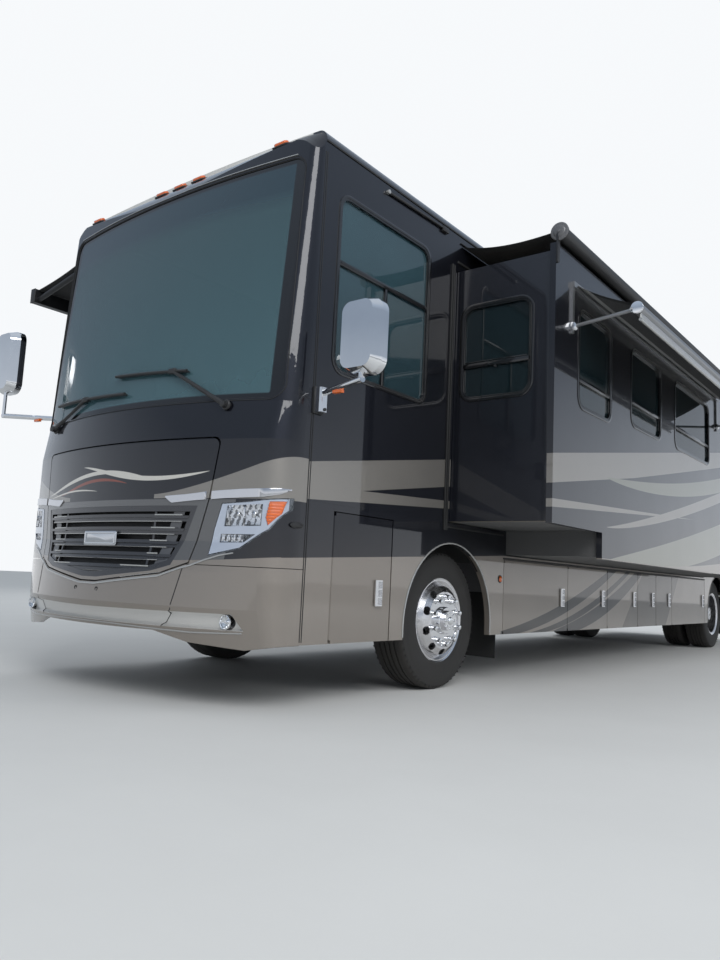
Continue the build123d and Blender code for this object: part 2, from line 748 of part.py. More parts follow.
def roof_cut():
    """The space under the roof's outer face, which a unit's foot is trimmed to."""
    reach = half_width
    edge_z = roof_top_z - 35
    crown = ThreePointArc((reach - roof_corner, edge_z), (0, roof_top_z), (roof_corner - reach, edge_z))
    return make_face(crown + Line((roof_corner - reach, edge_z), (0, 3000)) + Line((0, 3000), (reach - roof_corner, edge_z)))


def front_cap():
    """The front above the bumper: a bowed skin with the windscreen, hood and lamp openings."""
    skin = cap_shell(bumper_top_z, roof_top_z + 80, 0, cap_skin)
    skin -= windscreen_cut(0)
    skin -= through_front(hood_shape(hood_gap))
    skin -= headlamp_cut(0)
    skin -= mirror(headlamp_cut(0), about=Plane.YZ)
    pin_y = hood_pin_y()
    ear_thick, ear_half, ear_offset = 12, 14, 14
    for x in (-hood_arm_x, hood_arm_x):
        for side in (-ear_offset, ear_offset):
            ear_x = x + side
            ear = box(
                ear_x - ear_thick / 2,
                ear_x + ear_thick / 2,
                pin_y - 32,
                pin_y + ear_half,
                hood_hinge_z - ear_half,
                hood_hinge_z + ear_half,
            )
            hole = Pos(ear_x, pin_y, hood_hinge_z) * Rot(0, 90, 0) * Cylinder(hood_pin_radius + running_fit, 2 * ear_thick)
            skin += ear - hole
    return [skin]


def hood_pin_y():
    """The hood's pins, set behind the front's face."""
    return front_y(hood_arm_x, hood_hinge_z) + hood_hinge_depth


def windscreen_cut(shrink):
    """The windscreen's opening, smaller all round by the amount given."""
    (top_x, top_z), (low_x, low_z) = windscreen_half
    face = grown(((top_x, top_z), (low_x, low_z), (-low_x, low_z), (-top_x, top_z)), -shrink)
    face = fillet(face.vertices(), windscreen_corner)
    return along_y(face, front_reach_y, seam_y + 40)


def windshield():
    """The one-piece windscreen, a layer of the front's own bow."""
    layer = cap_shell(windscreen_half[1][1] - 10, windscreen_half[0][1] + 10, windscreen_thick, 2 * windscreen_thick)
    return [layer & windscreen_cut(glass_gap)]


def headlamp_cut(shrink):
    """The left headlamp's opening, a wedge that wraps the front corner."""
    return along_y(grown(lamp_outline, -shrink), front_reach_y, lamp_back_y)


def tail_lamp_cut(shrink, depth):
    """An upright tail lamp's slot in the tail's corner."""
    x, half = tail_lamp_x, tail_lamp_half - shrink
    return along_y(rounded(x - half, x + half, tail_lamp_z[0] + shrink, tail_lamp_z[1] - shrink, half - 10), tail_y - depth, tail_y + 1)


def lamps():
    """Headlamp housings with their bowls, the fog lamps and the tail lamps."""
    back_box = box(0, half_width, front_reach_y, lamp_back_y, bumper_top_z, hood_hinge_z)
    head = cap_form(lens_thick + 1) & headlamp_cut(glass_gap) & back_box
    for x, z, radius in lamp_bowls:
        face_y = front_y(x, z)
        bowl = Pos(x, face_y, z) * Rot(90, 0, 0) * Cone(radius * 0.45, radius, bowl_depth)
        head -= Pos(0, bowl_depth / 2 + 8, 0) * bowl
        head -= Pos(x, face_y + 4, z) * Rot(90, 0, 0) * Cylinder(radius, 40)
    x0, x1, z0, z1 = lamp_strip
    head -= box(x0, x1, front_reach_y, front_y(x1, z1) + 24, z0, z1)
    fog_y = front_y(fog_lamp_x, fog_lamp_z)
    fog = Pos(fog_lamp_x, fog_y + 40, fog_lamp_z) * Rot(90, 0, 0) * Cylinder(fog_lamp_radius, 64)
    fog -= Pos(fog_lamp_x, fog_y + 8, fog_lamp_z) * Rot(90, 0, 0) * Cylinder(fog_lamp_radius - 7, 20)
    return both_sides(head) + both_sides(fog) + both_sides(tail_lamp_cut(glass_gap, cap_skin))


def headlamp_lenses():
    """The clear covers of the headlamps, level with the front's skin."""
    lens = cap_shell(bumper_top_z, hood_hinge_z, 0.5, lens_thick + 0.5) & headlamp_cut(glass_gap)
    return both_sides(lens)


def front_bumper():
    """The bumper: the lowest band of the bow, notched by the hood's V, with a recessed slot and its fog lamp holes."""
    low_z = cap_sections[0][0]
    top_z = bumper_top_z - bumper_seam
    low_half = list(bumper_low_edge)
    edge = [(-half_width - 10, top_z)] + [(-x, z) for x, z in low_half] + low_half[::-1] + [(half_width + 10, top_z)]
    skin = cap_shell(low_z, top_z, 0, cap_skin) & along_y(outline(edge), front_reach_y, seam_y)
    slot = mirrored_outline(slot_half_outline)
    skin -= through_front(outline(slot))
    pocket = cap_shell(low_z, top_z, slot_depth, slot_depth + slot_sheet) & through_front(grown(slot, cap_skin - slot_depth))
    skin += pocket
    for x in (-fog_lamp_x, fog_lamp_x):
        hole = Pos(x, front_y(fog_lamp_x, fog_lamp_z), fog_lamp_z) * Rot(90, 0, 0)
        skin -= hole * Cylinder(fog_lamp_radius + glass_gap, 6 * slot_depth)
    return [skin - through_front(hood_shape(hood_gap))]


def hood_door():
    """The service hood: a bowed panel on two swan-neck arms that turn on pins behind the skin."""
    layer = cap_shell(cap_sections[0][0], hood_hinge_z, 0, hood_skin)
    skin = layer & through_front(hood_shape(0))
    skin -= through_front(outline(mirrored_outline(grille_half_outline)))
    pin_y = hood_pin_y()
    seat_y = front_y(hood_arm_x, hood_hinge_z - hood_arm_radius) + hood_skin
    lean = math.degrees(math.asin((pin_y - seat_y) / hood_arm_radius))
    spoke_angle, arm_thick = 15, 12
    bend = SlotArc(CenterArc((0, 0), hood_arm_radius, -90 - lean, 90 + lean - spoke_angle), 2 * hood_arm_half)
    spoke = Rot(0, 0, -spoke_angle) * Pos(hood_arm_radius / 2, 0) * SlotCenterToCenter(hood_arm_radius, 2 * hood_arm_half)
    for x in (-hood_arm_x, hood_arm_x):
        skin += Pos(0, pin_y, hood_hinge_z) * along_x(spoke + bend, x - arm_thick / 2, x + arm_thick / 2)
        skin += Pos(x, pin_y, hood_hinge_z) * Rot(0, 90, 0) * Cylinder(hood_pin_radius, 44)
    return [skin]


def grille():
    """The radiator grille: a rim that fills the hood's opening, five bowed double bars and the steps in them."""
    points = mirrored_outline(grille_half_outline)
    field = grown(points, -grille_rim)
    rim_face = grown(points, -glass_gap) - field
    low_z, top_z = hood_half_outline[-1][1], hood_half_outline[0][1]
    found = cap_shell(low_z, top_z, 2, hood_skin + 4) & through_front(rim_face)
    reach, step = grille_half_outline[0][0], grille_step_x[0]
    catch = 3
    seat = grown(points, catch - grille_rim)
    lips, louvres = Sketch(), Sketch()
    for k in range(grille_bars):
        z = grille_low_z + k * grille_pitch + grille_bar_tall / 2
        lips += Pos(0, z + 12) * Rectangle(2 * step, 20)
        louvres += Pos(0, z - 8) * Rectangle(2 * reach, 24)
        for side in (-1, 1):
            lips += Pos(side * (step + reach) / 2, z + 6) * Rectangle(reach - step + 20, 16)
    for x in (-grille_step_x[0], grille_step_x[0]):
        louvres += Pos(x, (low_z + top_z) / 2) * Rectangle(16, top_z - low_z)
    found += cap_shell(low_z, top_z, 0, 16) & through_front(lips & seat)
    found += cap_shell(low_z, top_z, 9, 24) & through_front(louvres & seat)
    return [found]


def tail_outline(inset):
    """The tail's plan: flat across, with a round corner at each side."""
    radius = 260 - inset
    reach = half_width - inset
    end = tail_y - inset
    mid = radius * (1 - math.cos(math.pi / 4))
    points = (
        Line((reach, rear_seam_y), (reach, end - radius))
        + ThreePointArc((reach, end - radius), (reach - mid, end - mid), (reach - radius, end))
        + Line((reach - radius, end), (radius - reach, end))
        + ThreePointArc((radius - reach, end), (mid - reach, end - mid), (-reach, end - radius))
        + Line((-reach, end - radius), (-reach, rear_seam_y))
        + Line((-reach, rear_seam_y), (reach, rear_seam_y))
    )
    return make_face(points)


def rear_cap():
    """The tail: a shell with the engine door's opening and a closed top."""
    outer = Pos(0, 0, skirt_z) * extrude(tail_outline(0), amount=roof_top_z - 30 - skirt_z)
    outer = chamfer(outer.faces().sort_by(Axis.Z)[-1].edges().filter_by(lambda e: e.center().Y > rear_seam_y + 1), 60)
    inner = Pos(0, 0, skirt_z - 1) * extrude(tail_outline(cap_skin), amount=roof_top_z - 100 - skirt_z)
    shell = outer - inner
    lifted = outline(((rear_seam_y + 60, 0), (rear_seam_y + 60, skirt_z), (rear_seam_y + 200, rear_lift_z), (tail_y + 1, rear_lift_z), (tail_y + 1, 0)))
    shell -= along_x(lifted, -half_width - 1, half_width + 1)
    opening = box(-engine_door_half - 6, engine_door_half + 6, tail_y - 200, tail_y + 1, engine_door_z0 - 6, engine_door_z1 + 11)
    shell -= opening
    nose_y = tail_y - barrel_inset - barrel_radius - seat_gap
    shell += box(-engine_door_half - 20, engine_door_half + 20, tail_y - cap_skin, nose_y, engine_door_z1 - nose_half, engine_door_z1 + 12)
    for slot in both_sides(tail_lamp_cut(0, cap_skin)):
        shell -= slot
    return [shell]


def engine_door():
    """The louvred door over the engine, hinged along its top."""
    axis_y = tail_y - barrel_inset
    slab = box(-engine_door_half, engine_door_half, tail_y - panel, tail_y, engine_door_z0, engine_door_z1 - 12)
    for k in range(8):
        z = engine_door_z0 + 120 + 70 * k
        slab -= box(-500, 500, tail_y - panel - 1, tail_y + 1, z, z + 30)
    leaf = box(-engine_door_half + 20, engine_door_half - 20, axis_y - 1, tail_y, engine_door_z1 - 13, engine_door_z1)
    barrel_axis = Pos(0, axis_y, engine_door_z1) * Rot(0, 90, 0)
    leaf -= barrel_axis * Cylinder(barrel_radius - 1, 2 * engine_door_half)
    barrel = barrel_axis * Cylinder(barrel_radius, 2 * engine_door_half - 40)
    return [slab + leaf + barrel]


def engine():
    """The engine as one plain block between the rails at the tail."""
    return [box(-350, 350, wheelbase + 740, rear_seam_y - 100, 560, 1080)]


def slide_outer_wall():
    """The slide-out's outer wall, which is also the flange that seals on the body side."""
    y0, y1 = slide_y0 - flange_over, slide_y1 + flange_over
    inner = slide_out_x - wall
    slab = box(inner, slide_out_x, y0, y1, flange_high_z, flange_top_z)
    slab += box(inner, slide_out_x, slide_step_y0 - flange_over, slide_step_y1 + flange_over, flange_low_z, flange_high_z + 1)
    for window in slide_windows:
        slab -= along_x(rounded(*window, window_corner), inner - 1, slide_out_x + 1)
    return [slab]


def slide_shell():
    """The slide-out's roof slab and its front and rear end walls."""
    outer = slide_out_x - wall
    low, high = slide_high_z, slide_top_z - wall - seat_gap
    front = box(slide_inner_x, outer, slide_y0, slide_y0 + wall, low, high)
    front -= along_y(rounded(*slide_end_window, window_corner), slide_y0 - 1, slide_y0 + wall + 1)
    rear = box(slide_inner_x, outer, slide_y1 - wall, slide_y1, low, high)
    top = box(slide_inner_x, outer, slide_y0, slide_y1, slide_top_z - wall, slide_top_z)
    return [front, rear, top]


def slide_floor():
    """The slide-out's floor, low over the bays and high over the wheels."""
    thick = 40
    levels = outline(
        (
            (slide_y0 + wall, slide_high_z),
            (slide_step_y0, slide_high_z),
            (slide_step_y0, slide_low_z),
            (slide_step_y1, slide_low_z),
            (slide_step_y1, slide_high_z),
            (slide_y1 - wall, slide_high_z),
            (slide_y1 - wall, slide_high_z + thick),
            (slide_step_y1 - thick, slide_high_z + thick),
            (slide_step_y1 - thick, slide_low_z + thick),
            (slide_step_y0 + thick, slide_low_z + thick),
            (slide_step_y0 + thick, slide_high_z + thick),
            (slide_y0 + wall, slide_high_z + thick),
        )
    )
    return [along_x(levels, slide_inner_x, slide_out_x - wall)]


def slide_room_windows():
    """The slide-out's panes."""
    mid = slide_out_x - wall / 2
    panes = []
    for y0, y1, z0, z1 in slide_windows:
        glass = rounded(y0 + glass_gap, y1 - glass_gap, z0 + glass_gap, z1 - glass_gap, window_corner)
        panes.append(along_x(glass, mid - pane / 2, mid + pane / 2))
    x0, x1, z0, z1 = slide_end_window
    glass = rounded(x0 + glass_gap, x1 - glass_gap, z0 + glass_gap, z1 - glass_gap, window_corner)
    middle = slide_y0 + wall / 2
    panes.append(along_y(glass, middle - pane / 2, middle + pane / 2))
    return panes


topper_radius = 50
topper_z = 3215
topper_flange = 12
topper_x = slide_out_x - wall + topper_radius + topper_flange


def topper_roller():
    """The slide topper's roller tube and its end brackets on the slide's outer wall."""
    y0, y1 = slide_y0, slide_y1
    tube = rod((topper_x, y0, topper_z), (topper_x, y1, topper_z), topper_radius)
    for y in (y0 - 20, y1):
        tube += box(slide_out_x, slide_out_x + 12, y, y + 20, 3000, topper_z)
        tube += Pos(topper_x, y + 10, topper_z) * Rot(90, 0, 0) * Cylinder(topper_radius + topper_flange, 20)
    return [tube]


def topper_fabric():
    """The topper's cloth from the rail on the body to the roller."""
    rail_z = 3320
    face = outline(
        (
            (half_width + seat_gap, rail_z),
            (half_width + seat_gap, rail_z + 6),
            (topper_x, topper_z + topper_radius + 6 + seat_gap),
            (topper_x, topper_z + topper_radius + seat_gap),
        )
    )
    return [along_y(face, slide_y0 + 60, slide_y1 - 60)]


awning_y0 = 180
awning_y1 = 4150
awning_tube = (2570, 2660)


def window_awning():
    """The window awning on the slide-out: wall rail, two arms and the roller tube."""
    tube_x, tube_z = awning_tube
    rail_z = 2900
    found = box(slide_out_x, slide_out_x + 25, awning_y0, awning_y1, rail_z, rail_z + 40)
    found += rod((tube_x, awning_y0, tube_z), (tube_x, awning_y1, tube_z), 38)
    for y in (awning_y0, awning_y1 - 30):
        found += box(slide_out_x, slide_out_x + 15, y, y + 30, 2560, rail_z + 1)
        found += rod((slide_out_x + 5, y + 15, 2610), (tube_x, y + 15, tube_z), 13)
    return [found]


def window_awning_fabric():
    """The window awning's cloth, from its rail to its roller."""
    tube_x, tube_z = awning_tube
    face = outline(
        (
            (slide_out_x + 25.3, 2925),
            (slide_out_x + 25.3, 2931),
            (tube_x, tube_z + 46),
            (tube_x, tube_z + 39),
        )
    )
    return [along_y(face, awning_y0 + 60, awning_y1 - 60)]


patio_y0 = -1560
patio_y1 = 4800
patio_lead = (-2130, 3080)


def entry_awning():
    """The patio awning on the entry side: case, lead rail and folding arms."""
    lead_x, lead_z = patio_lead
    found = box(-half_width - 90, -half_width, patio_y0, patio_y1, 3200, 3330)
    found += box(lead_x, lead_x + 60, patio_y0, patio_y1, lead_z - 60, lead_z + 60)
    for y in (patio_y0 + 40, patio_y1 - 80):
        found += rod((-half_width - 40, y, 3205), (lead_x + 30, y, lead_z - 30), 22)
    return [found]


def entry_awning_fabric():
    """The patio awning's cloth."""
    lead_x, lead_z = patio_lead
    face = outline(
        (
            (-half_width - 90.3, 3270),
            (-half_width - 90.3, 3276),
            (lead_x + 60.3, lead_z + 56),
            (lead_x + 60.3, lead_z + 50),
        )
    )
    return [along_y(face, patio_y0 + 20, patio_y1 - 20)]


def mirror_head(x, y, low_z, high_z):
    """A mirror's shell: a tall rounded pod, deeper at its middle, with the glass set back."""
    mid_z, tall = (low_z + high_z) / 2, high_z - low_z
    wide, deep, edge = mirror_size
    front = Plane.XZ * RectangleRounded(wide, tall, mirror_corner)
    face = Plane.XZ * RectangleRounded(wide - 2 * edge, tall - 2 * edge, mirror_corner - edge)
    shell = extrude(front, amount=deep * 0.4)
    shell += loft([Pos(0, -deep * 0.4, 0) * front, Pos(0, -deep, 0) * face])
    shell -= Pos(0, 1, 0) * extrude(face, amount=7)
    return Pos(x, y, mid_z) * shell


def mirrors():
    """The two outside mirrors on their arms and side brackets."""
    found = []
    for side, x, y, low_z, high_z, arm_z, root_y in mirror_places:
        outer = side * half_width
        root = (outer + side * 20, root_y, arm_z)
        elbow = (x, y - 60, arm_z + mirror_arm_rise)
        unit = mirror_head(x, y, low_z, high_z)
        unit += rod(root, (x + side * mirror_post_radius, y - 60, elbow[2]), mirror_arm_radius)
        unit += rod((x, y - 60, elbow[2] - mirror_post_radius), (x, y - 60, low_z + 10), mirror_post_radius)
        pod = box(min(outer, outer + side * 60), max(outer, outer + side * 60), root_y - 34, root_y + 34, arm_z - 110, arm_z + 36)
        unit += fillet(pod.edges().filter_by(Axis.Z), 18)
        found.append(unit)
    return found


def wipers():
    """Two wipers parked across the foot of the windscreen, each an arm on its spindle with a long blade."""
    found = []
    for pivot, tip, blade_start, blade_end in wiper_places:
        (x, z), (tip_x, tip_z) = pivot, tip
        pivot_y = front_y(x, z) - wiper_stand
        spindle = Pos(x, pivot_y + 30, z) * Rot(90, 0, 0) * Cylinder(22, 84) - cap_form(0)
        arm = rod((x, pivot_y, z), (tip_x, front_y(tip_x, tip_z) - wiper_stand, tip_z), 9)
        middle = ((blade_start[0] + blade_end[0]) / 2, (blade_start[1] + blade_end[1]) / 2)
        points = [(bx, front_y(bx, bz) - wiper_stand + 4, bz) for bx, bz in (blade_start, middle, blade_end)]
        bend = ThreePointArc(*points)
        blade = sweep(Plane(origin=points[0], z_dir=bend % 0) * Circle(8), path=bend)
        found.append(spindle + arm + blade)
    return found


def dashboard():
    """The dash across the cab, with the wheel and its column."""
    face = outline(
        (
            (-2040, 1722),
            (-2040, 1742),
            (-1700, 1755),
            (-1560, 1660),
            (-1560, 1200),
            (-1600, 1150),
            (-1640, 1150),
            (-1640, 1300),
            (-1740, 1500),
            (-1740, 1722),
        )
    )
    desk = along_x(face, -1200, 1200) & cap_form(cap_skin + 1) + box(-1200, 1200, seam_y, -1500, 1000, 1800)
    column = rod((620, -1600, 1500), (620, -1380, 1640), 30)
    ring = Pos(620, -1370, 1646) * Rot(58, 0, 0) * (Cylinder(225, 24) - Cylinder(195, 30))
    spokes = Pos(620, -1370, 1646) * Rot(58, 0, 0) * (Box(400, 40, 16) + Cylinder(50, 30))
    return [desk + column + ring + spokes]


def cockpit_seats():
    """Driver's and passenger's armchairs on their pedestals."""
    seats = []
    for x, y in ((620, -900), (-350, -900)):
        base = Pos(x, y, floor_front_z) * extrude(RectangleRounded(360, 360, 60), amount=280)
        cushion = fillet(box(x - 260, x + 260, y - 260, y + 270, floor_front_z + 280, floor_front_z + 430).edges(), 40)
        back = fillet(box(x - 250, x + 250, y + 180, y + 310, floor_front_z + 400, floor_front_z + 1180).edges(), 40)
        seats.append(base + cushion + back)
    return seats


flap_thick = 8


def mud_flaps():
    """Rubber flaps behind the front and rear wheels."""
    flaps = []
    for side, seam in ((1, left_seams[0]), (-1, right_seams[0])):
        rear_y = seam + bay_gap / 2
        front_flap = box(half_width - 385, half_width - 65, rear_y - flap_thick, rear_y, 180, 700)
        rear_y = wheelbase + 640
        rear_flap = box(half_width - 650, half_width - 65, rear_y, rear_y + flap_thick, 180, 700)
        rear_flap += box(430, half_width - 65, rear_y + flap_thick - 1, rear_y + 40, 690, 720)
        flaps += [flap if side > 0 else mirror(flap, about=Plane.YZ) for flap in (front_flap, rear_flap)]
    return flaps


nodes = {
    "chassis_frame": chassis_frame(),
    "axles": front_axle() + rear_axle(),
    "engine": engine(),
    "cabin_floor": cabin_floor(),
    "entry_steps": entry_steps(),
    "storage_bays": storage_bays(),
    "storage_bay_rear": storage_bay_rear(),
    "front_cap": front_cap(),
    "front_bumper": front_bumper(),
    "windshield": windshield(),
    "lamps": lamps(),
    "headlamp_lenses": headlamp_lenses(),
    "side_wall_left": side_wall_left(),
    "side_skirts_left": side_skirts_left(),
    "side_wall_right": side_wall_right(),
    "rear_cap": rear_cap(),
    "roof": roof(),
    "roof_air_conditioners": roof_air_conditioners(),
    "body_windows": body_windows(),
    "mirrors": mirrors(),
    "wipers": wipers(),
    "dashboard": dashboard(),
    "cockpit_seats": cockpit_seats(),
    "mud_flaps": mud_flaps(),
    "entry_awning": entry_awning(),
    "entry_awning_fabric": entry_awning_fabric(),
    "hood_door": hood_door(),
    "grille": grille(),
    "entry_door": entry_door(),
    "entry_door_window": entry_door_window(),
    "engine_door": engine_door(),
    "slide_outer_wall": slide_outer_wall(),
    "slide_shell": slide_shell(),
    "slide_floor": slide_floor(),
    "slide_windows": slide_room_windows(),
    "topper_roller": topper_roller(),
    "topper_fabric": topper_fabric(),
    "window_awning": window_awning(),
    "window_awning_fabric": window_awning_fabric(),
    "knuckle_left": knuckle(1),
    "knuckle_right": knuckle(-1),
}
nodes["front_tyre_left"], nodes["front_rim_left"] = front_wheel(1)
nodes["front_tyre_right"], nodes["front_rim_right"] = front_wheel(-1)
nodes["rear_tyres_left"], nodes["rear_rims_left"] = rear_wheels(1)
nodes["rear_tyres_right"], nodes["rear_rims_right"] = rear_wheels(-1)
nodes["bay_door_left_front"] = bay_door(*front_bay, 1)
for number, (start, stop) in enumerate(zip(left_seams, left_seams[1:]), 1):
    nodes[f"bay_door_left_{number}"] = bay_door(start, stop, door_low_z, door_high_z, 1)
for number, (start, stop) in enumerate(zip(right_seams, right_seams[1:]), 1):
    nodes[f"bay_door_right_{number}"] = bay_door(start, stop, door_low_z, door_high_z, -1)

# The row's origin is on the ground under the middle of everything
everything = Compound([solid for solids in nodes.values() for solid in solids]).bounding_box()
origin = Pos(-(everything.min.X + everything.max.X) / 2, -(everything.min.Y + everything.max.Y) / 2, 0)

os.makedirs("parts", exist_ok=True)
for name, solids in nodes.items():
    placed = [origin * solid for solid in solids]
    export_step(placed[0] if len(placed) == 1 else Compound(placed), f"parts/{name}.step")
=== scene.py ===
import math
import random

import bmesh
import bpy
from bpy.props import BoolProperty, FloatProperty, FloatVectorProperty, IntProperty, PointerProperty
from mathutils import Matrix, Vector
from mathutils.bvhtree import BVHTree


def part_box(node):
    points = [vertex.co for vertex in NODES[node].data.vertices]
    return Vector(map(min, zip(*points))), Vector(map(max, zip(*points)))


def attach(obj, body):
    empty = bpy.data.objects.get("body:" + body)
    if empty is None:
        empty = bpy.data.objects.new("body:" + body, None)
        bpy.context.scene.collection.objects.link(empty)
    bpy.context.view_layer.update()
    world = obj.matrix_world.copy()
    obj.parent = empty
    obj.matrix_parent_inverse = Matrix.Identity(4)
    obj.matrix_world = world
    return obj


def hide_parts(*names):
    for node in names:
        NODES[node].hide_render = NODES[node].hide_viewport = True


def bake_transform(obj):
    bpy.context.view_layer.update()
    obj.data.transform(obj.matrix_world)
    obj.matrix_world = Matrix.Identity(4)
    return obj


bl_info = {
    "name": "Motorhome dressing",
    "version": (1, 0, 0),
    "blender": (4, 5, 0),
    "location": "View3D > Sidebar > Motorhome",
    "description": "Finishes and small pieces of a long motorhome on its packed frame",
    "category": "Object",
}

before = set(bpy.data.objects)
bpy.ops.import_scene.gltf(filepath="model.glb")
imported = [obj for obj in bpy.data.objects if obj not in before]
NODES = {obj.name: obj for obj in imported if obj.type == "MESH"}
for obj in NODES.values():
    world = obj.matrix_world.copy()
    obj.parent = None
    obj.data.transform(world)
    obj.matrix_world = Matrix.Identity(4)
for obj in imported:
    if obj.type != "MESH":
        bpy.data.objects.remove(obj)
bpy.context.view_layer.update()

# The vehicle's own coordinates: X from the centre line, Y from the front axle, Z from the ground.
ENGINE_LOW, ENGINE_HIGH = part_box("engine")
ENGINE_START_Y = 8.28
CENTRE_X = (ENGINE_LOW[0] + ENGINE_HIGH[0]) / 2
AXLE_Y = ENGINE_LOW[1] - ENGINE_START_Y
TO_FRAME = Matrix.Translation((CENTRE_X, AXLE_Y, 0))

HALF_WIDTH = 1.29
WALL = 0.045
SLIDE_X = 2.1
SLIDE_Y = (-0.05, 8.85)
TAIL_Y = 10.19
HUB_Z = 0.492
WHEELBASE = 7.54
FRONT_WHEEL_X = 1.07
DUAL_X = (1.071, 0.739)
ARCH_RADIUS, ARCH_Z = 0.594, 0.455
SKIRT_Z = 0.39
CABIN_Y = (-1.61, 9.7)
SIDE_FROM = 1.262  # how far out the sides' own paint starts
CAP_SEAM_Y = -1.6
FRONT_MISS_Y = -1.7  # taken where a ray from ahead strikes nothing
MIRROR_ARM_Y = -1.56
NUTS = 10

# Openings, as two limits along or across and two up, and how far up a divider bar sits.
VENT_UP = 0.2
DRIVER_WINDOW = (-1.44, -0.43, 2.0, 3.13)
ENTRY_WINDOW = (-1.33, -0.83, 1.85, 2.44)
SLIDE_END_WINDOW = (1.355, 1.91, 2.1, 2.8)
RIGHT_WINDOWS = (
    (-0.56, -0.06, 2.06, 2.79), (0.3, 1.25, 2.13, 2.79), (2.5, 3.3, 2.13, 2.79),
    (5.0, 5.6, 2.13, 2.79), (7.3, 8.2, 2.13, 2.79),
)
SLIDE_WINDOWS = (
    (0.33, 0.97, 2.06, 2.79), (1.43, 2.21, 2.13, 2.79), (2.64, 3.85, 2.14, 2.79),
    (5.2, 5.9, 2.14, 2.79), (7.1, 8.1, 2.14, 2.79),
)
SCREEN_TOP, SCREEN_LOW = (1.212, 3.285), (1.226, 1.765)

# The left headlamp's bright plate and the openings in it, and the fog lamp's centre, across and up.
LAMP_OUTLINE = (
    (0.8863, 0.8593), (0.9049, 0.9967), (0.9416, 1.1464), (1.1048, 1.159),
    (1.279, 1.1849), (1.279, 1.1308), (1.2117, 1.0118), (1.062, 0.9025),
)
LAMP_BOX = ((0.962, 1.02), (1.176, 1.028), (1.18, 1.15), (0.974, 1.138))
LAMP_STRIP = ((0.942, 0.928), (1.084, 0.932), (1.15, 0.98), (0.947, 0.976))
LAMP_AMBER = ((1.207, 1.03), (1.258, 1.1), (1.27, 1.172), (1.208, 1.166), (1.195, 1.075))
FOG_LAMP = (1.01, 0.489)

# The grille's five bars: the lowest one's middle, and the pitch.
BAR_Z, BAR_PITCH, BARS = 0.76, 0.076, 5

# The topper's roller (X, Z, radius), and the lead rails of the two awnings (X, Z).
TOPPER = (2.117, 3.215, 0.05)
AWNING_TUBE = (2.57, 2.66)
PATIO_LEAD = (-2.13, 3.08)

CAMERA_PLACE = (4.282, -4.903, 0.764)
CAMERA_YAW, CAMERA_PITCH, CAMERA_ROLL = 0.6694, 0.1257, 0.0477

TAIL_RED_TOP = 1.36  # where the tail lamps turn from red to amber
THREADS = 2400  # radians of the weave's wave in a metre of cloth
ABOVE_ZERO = 0.0001  # keeps a power's base positive
DUST = (0.22, 0.19, 0.16)
LINING = (0.21, 0.18, 0.14)
GLOSS_BLACK = (0.011, 0.012, 0.017)


# Shader nodes written as expressions


def maths_of_two(operation, swapped=False):
    """An arithmetic method that adds one Math node."""
    def method(self, other):
        return self.maths(operation, *((other, self) if swapped else (self, other)))
    return method


class Amount:
    """A socket's value, on which arithmetic adds Math nodes."""

    def __init__(self, finish, socket):
        self.finish, self.socket = finish, socket

    def maths(self, operation, *values, clamp=False):
        return self.finish.add("ShaderNodeMath", {"operation": operation, "use_clamp": clamp}, values)

    __add__ = __radd__ = maths_of_two("ADD")
    __sub__, __rsub__ = maths_of_two("SUBTRACT"), maths_of_two("SUBTRACT", True)
    __mul__ = __rmul__ = maths_of_two("MULTIPLY")
    __truediv__ = maths_of_two("DIVIDE")
    __pow__ = maths_of_two("POWER")
    lowest, highest = maths_of_two("MINIMUM"), maths_of_two("MAXIMUM")

    def __abs__(self):
        return self.maths("ABSOLUTE", self)

    def sine(self):
        return self.maths("SINE", self)

    def over(self, limit, soft=0.002, slope=1):
        """1 where the value is over the limit, 0 where it is under."""
        return self.maths("MULTIPLY_ADD", self - limit, slope / soft, 0.5, clamp=True)

    def under(self, limit, soft=0.002):
        return self.over(limit, soft, -1)

    def between(self, low, high, soft=0.002):
        return self.over(low, soft) * self.under(high, soft)


FINISHES = {}


